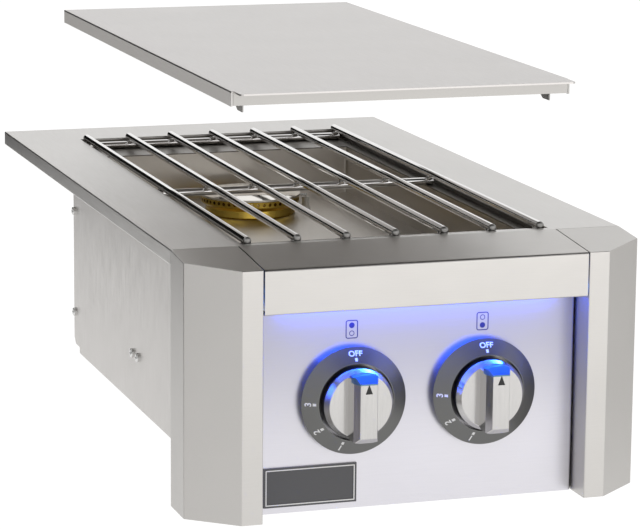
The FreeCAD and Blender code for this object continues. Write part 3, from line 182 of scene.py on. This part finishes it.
def inside_box(tree_nodes, links, low, high):
    """One where the surface lies inside a box of the CAD frame, nought elsewhere."""
    coord = tree_nodes.new("ShaderNodeTexCoord")
    parts = tree_nodes.new("ShaderNodeSeparateXYZ")
    links.new(coord.outputs["Object"], parts.inputs[0])
    result = None
    for axis in range(3):
        for bound, operation in ((low[axis], "GREATER_THAN"), (high[axis], "LESS_THAN")):
            if bound is None:
                continue
            test = tree_nodes.new("ShaderNodeMath")
            test.operation = operation
            test.inputs[1].default_value = bound
            links.new(parts.outputs[axis], test.inputs[0])
            if result is None:
                result = test.outputs[0]
                continue
            both = tree_nodes.new("ShaderNodeMath")
            both.operation = "MULTIPLY"
            links.new(result, both.inputs[0])
            links.new(test.outputs[0], both.inputs[1])
            result = both.outputs[0]
    return result


def painted_light_patch(mat, mask_box, color, rough, metallic=1.0):
    """Paint light or shade into the part of a sheet inside a box: another colour and roughness there, and
    less metal if asked.
    """
    n = mat.node_tree.nodes
    links = mat.node_tree.links
    shader = n["Principled BSDF"]
    mask = inside_box(n, links, mask_box[0], mask_box[1])
    for name, value in (("Base Color", list(color) + [1]), ("Roughness", rough)):
        before = shader.inputs[name].links[0].from_socket
        mix = n.new("ShaderNodeMix")
        mix.data_type = "RGBA" if name == "Base Color" else "FLOAT"
        a, b, result = (6, 7, 2) if name == "Base Color" else (2, 3, 0)
        links.new(mask, mix.inputs[0])
        links.new(before, mix.inputs[a])
        mix.inputs[b].default_value = value
        links.new(mix.outputs[result], shader.inputs[name])
    if metallic < 1.0:
        fall = n.new("ShaderNodeMapRange")
        fall.inputs["To Min"].default_value = 1.0
        fall.inputs["To Max"].default_value = metallic
        links.new(mask, fall.inputs["Value"])
        links.new(fall.outputs["Result"], shader.inputs["Metallic"])


def shaded_up(mat, low, high, factor):
    """Paint shade into a sheet's colour: it falls off between two heights, as under an overhang."""
    n = mat.node_tree.nodes
    links = mat.node_tree.links
    socket = n["Principled BSDF"].inputs["Base Color"]
    coord = n.new("ShaderNodeTexCoord")
    parts = n.new("ShaderNodeSeparateXYZ")
    fall = n.new("ShaderNodeMapRange")
    fall.interpolation_type = "SMOOTHSTEP"
    fall.inputs["From Min"].default_value = low
    fall.inputs["From Max"].default_value = high
    fall.inputs["To Min"].default_value = 1.0
    fall.inputs["To Max"].default_value = factor
    scaled = n.new("ShaderNodeVectorMath")
    scaled.operation = "SCALE"
    before = socket.links[0].from_socket
    links.new(coord.outputs["Object"], parts.inputs[0])
    links.new(parts.outputs[2], fall.inputs["Value"])
    links.new(before, scaled.inputs[0])
    links.new(fall.outputs["Result"], scaled.inputs["Scale"])
    links.new(scaled.outputs[0], socket)


STEEL = (0.56, 0.545, 0.525)
materials = {
    "frame_steel": metal("frame_steel", (0.60, 0.585, 0.565), 0.33, "y", 1800.0),
    "front_steel": metal("front_steel", STEEL, 0.36, "x", 1800.0),
    # Painted light: the panel steel's colour carries a blue tint from the blue strip's light.
    "panel_steel": metal("panel_steel", (0.66, 0.65, 0.69), 0.34, "x", 1500.0, spread=0.03, metallic=0.85),
    "tab_steel": metal("tab_steel", (0.50, 0.49, 0.475), 0.5, "y", 1800.0, metallic=0.45),
    "lid_steel": metal("lid_steel", (0.58, 0.56, 0.545), 0.34, "y", 1800.0),
    "side_steel": metal("side_steel", (0.60, 0.58, 0.56), 0.34, "z", 900.0, spread=0.03),
    "inner_steel": metal("inner_steel", (0.60, 0.565, 0.52), 0.34, "x", 900.0, spread=0.02,
                         bump=0.000001),
    # Painted shade: the ledge steel is made dark for the shade and dark reflections it sits in.
    "ledge_shaded_steel": metal("ledge_shaded_steel", (0.24, 0.225, 0.205), 0.32, "x", 900.0, spread=0.02, bump=0.000001),
    "rod_steel": metal("rod_steel", (0.82, 0.81, 0.80), 0.04, "y", 2400.0, spread=0.01, rough_spread=0.015,
                       bump=0.0),
    "bar_steel": metal("bar_steel", (0.76, 0.75, 0.74), 0.07, "x", 2400.0, spread=0.01, rough_spread=0.02,
                       bump=0.0),
    "knob_steel": metal("knob_steel", (0.54, 0.53, 0.52), 0.18, "z", 2600.0, spread=0.05),
    "plated_steel": metal("plated_steel", (0.58, 0.58, 0.57), 0.28, "none", 1200.0),
    "screw_steel": metal("screw_steel", (0.68, 0.68, 0.67), 0.22, "none", 1600.0, spread=0.02),
    "cap_steel": metal("cap_steel", (0.80, 0.765, 0.70), 0.05, "none", 1200.0, rough_spread=0.015,
                       bump=0.0000005),
    "brass": metal("brass", (0.66, 0.46, 0.085), 0.22, "none", 1500.0, spread=0.06),
    "cast_alloy": plain("cast_alloy", (0.50, 0.50, 0.49), 0.48, 1.0, 1400.0, 0.10, 0.00005),
    "gunmetal": metal("gunmetal", (0.155, 0.155, 0.15), 0.36, "none", 2400.0, spread=0.05),
    "badge_field": plain("badge_field", (0.085, 0.085, 0.09), 0.38, 0.0, 1800.0, 0.08, 0.000004),
    "mark_white": plain("mark_white", (0.86, 0.86, 0.85), 0.5, 0.0, 2600.0, 0.02, 0.0),
    "mark_navy": plain("mark_navy", (0.01, 0.016, 0.11), 0.45, 0.0, 2600.0, 0.05, 0.0),
    "black_mark": plain("black_mark", (0.012, 0.012, 0.013), 0.5, 0.0, 2600.0, 0.05, 0.0),
    "sleeve": plain("sleeve", (0.05, 0.05, 0.05), 0.55, 0.0, 1500.0, 0.15, 0.00002),
    "black_plastic": plain("black_plastic", (0.025, 0.025, 0.026), 0.42, 0.0, 1500.0, 0.12, 0.00002),
    "ceramic": plain("ceramic", (0.82, 0.80, 0.75), 0.18, 0.0, 900.0, 0.03, 0.000005),
}


def lit_lens():
    mat, n, links, shader = new_material("blue_lens")
    speck = noise_at(n, links, (600.0, 600.0, 600.0), 2.0)
    links.new(tinted(n, links, ramp(n, links, speck, 0.0, 1.0), (0.05, 0.16, 0.9), 0.1),
              shader.inputs["Base Color"])
    shader.inputs["Roughness"].default_value = 0.3
    shader.inputs["Emission Color"].default_value = (0.0, 0.28, 1.0, 1)
    shader.inputs["Emission Strength"].default_value = 10.0
    return mat


materials["blue_lens"] = lit_lens()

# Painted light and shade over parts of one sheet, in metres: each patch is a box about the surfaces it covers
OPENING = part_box("tub_ledge")
OPENING_FRONT = 0.004
OPENING_BACK = 0.53
FRAME_UNDER = 0.0105
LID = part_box("lid")
LID_UNDER = LID[1][2] - 0.0013
LID_LEFT = LID[0][0] + 0.0014
LID_FLANGE = (-0.0045, -0.0018)
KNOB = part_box("left_knob")
GRIP_TOP = (KNOB[0][2] + KNOB[1][2]) / 2 + 0.0195
GRIP_FRONT = -0.0705
RODS_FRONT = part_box("grate_rods")[0][1] + 0.0024
TUB_WALL_Y = 0.464
# Painted shade on the panel: between these heights its colour falls to this share towards the top, under the
# header.
PANEL_SHADE_LOW = -0.15
PANEL_SHADE_HIGH = -0.035
PANEL_SHADE_FALL = 0.62


def paint_light_and_shade():
    """Painted light and shade on bends, ends and faces: painted shade on the opening edge, the lid's front
    flange and the rod ends; painted light on the lid's left flange and the tub's back wall; painted blue
    light on the grip tops; painted shade towards the panel's top.
    """
    anywhere = (None, None, None)
    # Painted shade: the inner rim of the opening is darkened where it lies in shade.
    painted_light_patch(materials["frame_steel"], ((OPENING[0][0], OPENING_FRONT, None),
                                       (OPENING[1][0], OPENING_BACK, FRAME_UNDER)), (0.20, 0.185, 0.165), 0.4)
    # Painted shade: the lid's front flange is made darker than the lid's top.
    painted_light_patch(materials["lid_steel"], ((None, LID_FLANGE[0], None), (None, LID_FLANGE[1], LID_UNDER)),
            (0.41, 0.40, 0.385), 0.34)
    # Painted light: the lid's left flange is made lighter and less metallic.
    painted_light_patch(materials["lid_steel"], (anywhere, (LID_LEFT, None, LID_UNDER)), (0.84, 0.82, 0.80), 0.5, 0.45)
    # Painted light: the grip tops are tinted blue, as lit by the blue strip above them.
    painted_light_patch(materials["knob_steel"], ((None, None, GRIP_TOP), (None, GRIP_FRONT, None)),
            (0.15, 0.27, 0.36), 0.45)
    # Painted shade: the rods' front ends are darkened.
    painted_light_patch(materials["rod_steel"], (anywhere, (None, RODS_FRONT, None)), (0.30, 0.295, 0.285), 0.4)
    # Painted light: the tub's back wall is made lighter than its other walls.
    painted_light_patch(materials["inner_steel"], ((None, TUB_WALL_Y, None), anywhere), (0.78, 0.745, 0.70), 0.34)
    # Painted shade: the panel is darker towards its top, under the header.
    shaded_up(materials["panel_steel"], PANEL_SHADE_LOW, PANEL_SHADE_HIGH, PANEL_SHADE_FALL)


paint_light_and_shade()

BY_NODE = {
    "top_frame": "frame_steel",
    "left_column": "front_steel",
    "right_column": "front_steel",
    "header_fascia": "front_steel",
    "control_panel": "panel_steel",
    "lid": "lid_steel",
    "left_side_panel": "side_steel",
    "right_side_panel": "side_steel",
    "back_panel": "side_steel",
    "base_plate": "side_steel",
    "tub_ledge": "ledge_shaded_steel",
    "burner_tub": "inner_steel",
    "grate_rods": "rod_steel",
    "grate_cross_bars": "bar_steel",
    "badge_plate": "badge_field",
    "light_lens": "blue_lens",
    "light_bar": "cast_alloy",
    "lid_tabs": "tab_steel",
    "igniter_insulators": "ceramic",
    "orifices": "brass",
    "gas_inlet_fitting": "brass",
    "spark_module": "black_plastic",
    "spark_switches": "black_plastic",
    "power_jack": "black_plastic",
}
BY_ENDING = {
    "_dial_bezel": "gunmetal",
    "_knob": "knob_steel",
    "_knob_pointer": "black_mark",
    "_burner_ring": "brass",
    "_burner_cap": "cap_steel",
    "_gas_valve": "cast_alloy",
    "_burner_bowl": "cast_alloy",
    "_screws": "screw_steel",
    "_lead": "sleeve",
}


def material_for(name):
    if name in BY_NODE:
        return materials[BY_NODE[name]]
    for ending, key in BY_ENDING.items():
        if name.endswith(ending):
            return materials[key]
    return materials["plated_steel"]


for name, obj in nodes.items():
    for place in obj.material_slots:
        place.material = material_for(name)


def piece(name, verts, faces, material, body, smooth=False):
    mesh = bpy.data.meshes.new(name)
    mesh.from_pydata([tuple(v) for v in verts], [], faces)
    mesh.update()
    obj = bpy.data.objects.new(name, mesh)
    bpy.context.scene.collection.objects.link(obj)
    mesh.materials.append(materials[material])
    if smooth:
        for poly in mesh.polygons:
            poly.use_smooth = True
    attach(obj, body)
    return obj


# Marks on the dials

def cone_height(radius):
    t = (radius - CONE_IN[0]) / (CONE_OUT[0] - CONE_IN[0])
    return CONE_IN[1] + t * (CONE_OUT[1] - CONE_IN[1])


SLANT = math.atan2(CONE_IN[1] - CONE_OUT[1], CONE_OUT[0] - CONE_IN[0])


def on_cone(side, angle, radius, across, up):
    """A point on the bezel's cone: across runs clockwise, up runs outwards along the slope, in mm."""
    low, high = BEZEL_BOX[side]
    centre_x = (low[0] + high[0]) / 2
    centre_z = (low[2] + high[2]) / 2
    r = radius + up * math.cos(SLANT)
    turn = math.radians(angle) - across / radius
    h = cone_height(r) + MARK_LIFT
    return (centre_x - r * MM * math.sin(turn), PANEL_Y - h * MM, centre_z + r * MM * math.cos(turn))


def tick(side, angle, body):
    verts = []
    faces = []
    for i in range(TICK_ROWS):
        across = TICK_HALF_W * (2.0 * i / (TICK_ROWS - 1) - 1.0)
        verts.append(on_cone(side, angle, TICK_RADIUS, across, -TICK_HALF_H))
        verts.append(on_cone(side, angle, TICK_RADIUS, across, TICK_HALF_H))
    for i in range(TICK_ROWS - 1):
        faces.append((2 * i, 2 * i + 1, 2 * i + 3, 2 * i + 2))
    return piece("%s_dial_tick_%03d" % (side, angle), verts, faces, "mark_white", body)


def lettering(name, words, side, angle, radius, height, body):
    curve = bpy.data.curves.new(name + "_text", "FONT")
    curve.body = words
    curve.size = height / CAPITAL_SHARE
    curve.align_x = "CENTER"
    curve.align_y = "CENTER"
    curve.offset = height * BOLD_SHARE
    curve.resolution_u = 3
    holder = bpy.data.objects.new(name + "_text", curve)
    bpy.context.scene.collection.objects.link(holder)
    depsgraph = bpy.context.evaluated_depsgraph_get()
    mesh = bpy.data.meshes.new_from_object(holder.evaluated_get(depsgraph))
    verts = [on_cone(side, angle, radius, v.co.x, v.co.y) for v in mesh.vertices]
    faces = [tuple(p.vertices) for p in mesh.polygons]
    bpy.data.objects.remove(holder)
    bpy.data.curves.remove(curve)
    bpy.data.meshes.remove(mesh)
    return piece(name, verts, faces, "mark_white", body)


DIAL_WORDS = {0: "OFF", 90: "3", 126: "2", 162: "1"}
for side in ("left", "right"):
    for angle, words in DIAL_WORDS.items():
        tick(side, angle, "housing")
        height = OFF_HEIGHT if words == "OFF" else NUMBER_HEIGHT
        lettering("%s_dial_mark_%03d" % (side, angle), words, side, angle, WORD_RADIUS, height, "housing")


# Flat marks on the panel and on the badge

def outline(width, height, radius, inset):
    """Corners of a rounded rectangle about the origin, in mm, moved in by an inset."""
    half_w = width / 2 - inset
    half_h = height / 2 - inset
    r = max(0.05, radius - inset)
    points = []
    for cx, cz, first in ((half_w - r, half_h - r, 0), (r - half_w, half_h - r, 90),
                          (r - half_w, r - half_h, 180), (half_w - r, r - half_h, 270)):
        for step in range(7):
            angle = math.radians(first + step * 15)
            points.append((cx + r * math.cos(angle), cz + r * math.sin(angle)))
    return points


def ring_mark(centre, width, height, radius, line):
    """A rounded outline drawn as a closed band, as vertices and faces in the panel's plane."""
    outer = outline(width, height, radius, 0)
    inner = outline(width, height, radius, line)
    count = len(outer)
    verts = [(centre[0] + x, centre[1] + z) for x, z in outer + inner]
    faces = [(i, (i + 1) % count, count + (i + 1) % count, count + i) for i in range(count)]
    return verts, faces


def disc_mark(centre, radius):
    verts, faces = ring_mark(centre, 2 * radius, 2 * radius, radius, radius * 0.97)
    count = len(verts) // 2
    return verts, faces + [tuple(range(count, 2 * count))]


def flat_marks(name, shapes, y, material):
    """Several flat marks as one piece in the plane at y, from shapes in mm."""
    verts = []
    faces = []
    for shape_verts, shape_faces in shapes:
        start = len(verts)
        verts += [(x * MM, y, z * MM) for x, z in shape_verts]
        faces += [tuple(start + i for i in face) for face in shape_faces]
    return piece(name, verts, faces, material, "housing")


def burner_symbols():
    """The usual cooktop symbol over each dial: two burners in a frame, the one it turns on filled."""
    for side, filled in (("left", 1), ("right", -1)):
        low, high = BEZEL_BOX[side]
        x = (low[0] + high[0]) / 2 / MM
        z = (low[2] + high[2]) / 2 / MM + SYMBOL_UP
        shapes = [ring_mark((x, z), SYMBOL_SIZE[0], SYMBOL_SIZE[1], SYMBOL_CORNER, SYMBOL_LINE)]
        for up in (1, -1):
            spot = (x, z + up * SPOT_UP)
            if up == filled:
                shapes.append(disc_mark(spot, SPOT_R))
            else:
                shapes.append(ring_mark(spot, 2 * SPOT_RING_R, 2 * SPOT_RING_R, SPOT_RING_R, SPOT_LINE))
        flat_marks(side + "_burner_symbol", shapes, PANEL_Y - FLAT_LIFT * MM, "mark_navy")


def badge_line():
    low, high = BADGE_BOX
    centre = ((low[0] + high[0]) / 2 / MM, (low[2] + high[2]) / 2 / MM)
    width = (high[0] - low[0]) / MM
    height = (high[2] - low[2]) / MM
    line = ring_mark(centre, width - BADGE_INSET, height - BADGE_INSET, BADGE_CORNER, BADGE_LINE)
    flat_marks("badge_line", [line], low[1] - FLAT_LIFT * MM, "mark_white")


burner_symbols()
badge_line()


# Return springs behind the knobs, which on the real dial give way as a knob is pushed: here the same coils as
# in the CAD, fixed to the housing.

def return_spring(side):
    low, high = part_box(side + "_return_spring")
    centre = ((low[0] + high[0]) / 2, (low[2] + high[2]) / 2)
    wire = SPRING_WIRE_R
    radius = (high[0] - low[0]) / 2 - wire
    rise = (low[1] - high[1] + 2 * wire) / (2 * math.pi * SPRING_TURNS)
    steps = SPRING_TURNS * SPRING_STEPS
    verts = []
    faces = []
    for i in range(steps + 1):
        turn = 2 * math.pi * SPRING_TURNS * i / steps
        out = Vector((math.cos(turn), 0, math.sin(turn)))
        along = Vector((-radius * math.sin(turn), rise, radius * math.cos(turn))).normalized()
        across = along.cross(out)
        middle = Vector((centre[0], high[1] - wire + rise * turn, centre[1])) + radius * out
        for k in range(SPRING_SIDES):
            angle = 2 * math.pi * k / SPRING_SIDES
            verts.append(middle + wire * (math.cos(angle) * out + math.sin(angle) * across))
    for i in range(steps):
        for k in range(SPRING_SIDES):
            a = i * SPRING_SIDES + k
            b = i * SPRING_SIDES + (k + 1) % SPRING_SIDES
            faces.append((a, b, b + SPRING_SIDES, a + SPRING_SIDES))
    faces.append(tuple(reversed(range(SPRING_SIDES))))
    faces.append(tuple(range(steps * SPRING_SIDES, (steps + 1) * SPRING_SIDES)))
    spring = piece(side + "_spring_coil", verts, faces, "plated_steel", "housing", smooth=True)
    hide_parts(side + "_return_spring")
    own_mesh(spring)


for side in ("left", "right"):
    return_spring(side)


# Camera, fitted to the photograph
CAMERA_AT = (-0.7396, -2.0768, 0.4361)
CAMERA_TARGET = (0.0056, 0.2100, -0.0504)
CAMERA_LENS = 168.40
CAMERA_ROLL = 0.0085988


def look(name, position, target, lens, roll):
    data = bpy.data.cameras.new(name)
    data.lens = lens
    data.sensor_width = 36.0
    data.clip_start = 0.05
    data.clip_end = 60.0
    camera = bpy.data.objects.new(name, data)
    bpy.context.scene.collection.objects.link(camera)
    forward = (Vector(target) - Vector(position)).normalized()
    right = forward.cross(Vector((0, 0, 1))).normalized()
    up = right.cross(forward)
    turned_right = math.cos(roll) * right + math.sin(roll) * up
    turned_up = -math.sin(roll) * right + math.cos(roll) * up
    basis = Matrix((turned_right, turned_up, -forward)).transposed().to_4x4()
    camera.matrix_world = Matrix.Translation(position) @ basis
    return camera


camera = look("camera", CAMERA_AT, CAMERA_TARGET, CAMERA_LENS, CAMERA_ROLL)
bpy.context.scene.camera = camera


# World, floor and lamps
WORLD_LIGHT = 0.72
WARM_WHITE = (1.0, 0.985, 0.965)
FLOOR_SIZE = 9.0
FLOOR_HEIGHT = -0.62
FLOOR_GLOW = 0.86
FLOOR_SHADOW = 0.3
SOFTBOX_POWER = 5.0
STRIP_POWER = 0.55
STRIP_BLUE = (0.02, 0.07, 1.0)
STRIP_DROP = 0.0008
STRIP_LEAN = 0.004
STRIP_INSET = (0.004, 0.001)


def make_world():
    world = bpy.data.worlds.new("studio")
    bpy.context.scene.world = world
    world.use_nodes = True
    n = world.node_tree.nodes
    links = world.node_tree.links
    n.clear()
    out = n.new("ShaderNodeOutputWorld")
    paths = n.new("ShaderNodeLightPath")
    seen = n.new("ShaderNodeBackground")
    seen.inputs["Color"].default_value = (1, 1, 1, 1)
    seen.inputs["Strength"].default_value = 1.0
    lit = n.new("ShaderNodeBackground")
    lit.inputs["Color"].default_value = WARM_WHITE + (1,)
    lit.inputs["Strength"].default_value = WORLD_LIGHT
    first = n.new("ShaderNodeMath")
    first.operation = "MAXIMUM"
    second = n.new("ShaderNodeMath")
    second.operation = "MAXIMUM"
    mix = n.new("ShaderNodeMixShader")
    links.new(paths.outputs["Is Camera Ray"], first.inputs[0])
    links.new(paths.outputs["Is Glossy Ray"], first.inputs[1])
    links.new(first.outputs[0], second.inputs[0])
    links.new(paths.outputs["Is Transmission Ray"], second.inputs[1])
    links.new(second.outputs[0], mix.inputs["Fac"])
    links.new(lit.outputs[0], mix.inputs[1])
    links.new(seen.outputs[0], mix.inputs[2])
    links.new(mix.outputs[0], out.inputs["Surface"])


def make_floor():
    size = FLOOR_SIZE
    mesh = bpy.data.meshes.new("floor")
    mesh.from_pydata([(x, y, FLOOR_HEIGHT) for x, y in ((-size, -size), (size, -size), (size, size),
                                                        (-size, size))], [], [(0, 1, 2, 3)])
    obj = bpy.data.objects.new("floor", mesh)
    bpy.context.scene.collection.objects.link(obj)
    mat = bpy.data.materials.new("floor_white")
    mat.use_nodes = True
    n = mat.node_tree.nodes
    links = mat.node_tree.links
    shader = n["Principled BSDF"]
    shader.inputs["Base Color"].default_value = (0.92, 0.92, 0.92, 1)
    shader.inputs["Roughness"].default_value = 0.9
    glow = n.new("ShaderNodeEmission")
    glow.inputs["Color"].default_value = (1, 1, 1, 1)
    glow.inputs["Strength"].default_value = FLOOR_GLOW
    both = n.new("ShaderNodeAddShader")
    thin = n.new("ShaderNodeMixShader")
    paths = n.new("ShaderNodeLightPath")
    seen = n.new("ShaderNodeMath")
    seen.operation = "MAXIMUM"
    links.new(paths.outputs["Is Camera Ray"], seen.inputs[0])
    links.new(paths.outputs["Is Glossy Ray"], seen.inputs[1])
    dim = n.new("ShaderNodeMixShader")
    dim.inputs["Fac"].default_value = FLOOR_SHADOW
    dark = n.new("ShaderNodeEmission")
    dark.inputs["Strength"].default_value = 0.0
    links.new(dark.outputs[0], dim.inputs[1])
    links.new(shader.outputs[0], dim.inputs[2])
    links.new(dim.outputs[0], both.inputs[0])
    links.new(glow.outputs[0], both.inputs[1])
    links.new(seen.outputs[0], thin.inputs["Fac"])
    links.new(shader.outputs[0], thin.inputs[1])
    links.new(both.outputs[0], thin.inputs[2])
    links.new(thin.outputs[0], n["Material Output"].inputs["Surface"])
    mesh.materials.append(mat)


def area_lamp(name, position, target, size, power, color):
    data = bpy.data.lights.new(name, "AREA")
    data.shape = "RECTANGLE"
    data.size = size[0]
    data.size_y = size[1]
    data.energy = power
    data.color = color
    lamp = bpy.data.objects.new(name, data)
    bpy.context.scene.collection.objects.link(lamp)
    lamp.location = position
    lamp.rotation_euler = (Vector(target) - Vector(position)).to_track_quat("-Z", "Y").to_euler()
    return lamp


def reflection_card(name, near, far, lows, high, value):
    """A studio flag that only the metal sees, its lower edge given at both ends."""
    mesh = bpy.data.meshes.new(name)
    corners = [(near[0], near[1], lows[0]), (far[0], far[1], lows[1]), (far[0], far[1], high),
               (near[0], near[1], high)]
    mesh.from_pydata(corners, [], [(0, 1, 2, 3)])
    studio_card(mesh, name, value)


def studio_card(mesh, name, value):
    obj = bpy.data.objects.new(name, mesh)
    bpy.context.scene.collection.objects.link(obj)
    mat = bpy.data.materials.new(name)
    mat.use_nodes = True
    shader = mat.node_tree.nodes["Principled BSDF"]
    shader.inputs["Base Color"].default_value = (value, value, value, 1)
    shader.inputs["Roughness"].default_value = 0.9
    shader.inputs["Specular IOR Level"].default_value = 0.0
    mesh.materials.append(mat)
    obj.visible_camera = False
    obj.visible_diffuse = False
    obj.visible_shadow = False


def overhead_flag():
    """A dark ceiling over the front, so the blue light shows on what faces up."""
    mesh = bpy.data.meshes.new("flag_top")
    mesh.from_pydata([(-1.1, -1.5, 1.5), (1.7, -1.5, 1.5), (1.7, 0.5, 1.5), (-1.1, 0.5, 1.5)], [],
                     [(0, 1, 2, 3)])
    studio_card(mesh, "flag_top", 0.05)


def light_strip():
    """The blue light behind the lens under the header."""
    low, high = LENS_BOX
    middle = ((low[0] + high[0]) / 2, (low[1] + high[1]) / 2, low[2] - STRIP_DROP)
    size = (high[0] - low[0] - STRIP_INSET[0], high[1] - low[1] - STRIP_INSET[1])
    area_lamp("blue_strip", middle, (middle[0], middle[1] + STRIP_LEAN, middle[2] - 1), size, STRIP_POWER,
              STRIP_BLUE)


make_world()
make_floor()
area_lamp("front_softbox", (0.85, -2.35, 0.05), (0, 0, -0.08), (1.3, 1.2), SOFTBOX_POWER, WARM_WHITE)
reflection_card("flag_left", (-0.20, 1.88), (-1.80, 0.40), (-0.143, -0.62), 0.85, 0.01)
reflection_card("flag_side", (-1.80, 0.40), (-1.58, -0.50), (-0.50, -0.50), 0.70, 0.10)
reflection_card("card_right", (1.60, 0.25), (1.75, 0.90), (-0.60, -0.60), 0.90, 0.80)
overhead_flag()
light_strip()

scene = bpy.context.scene
scene.view_settings.view_transform = "Standard"
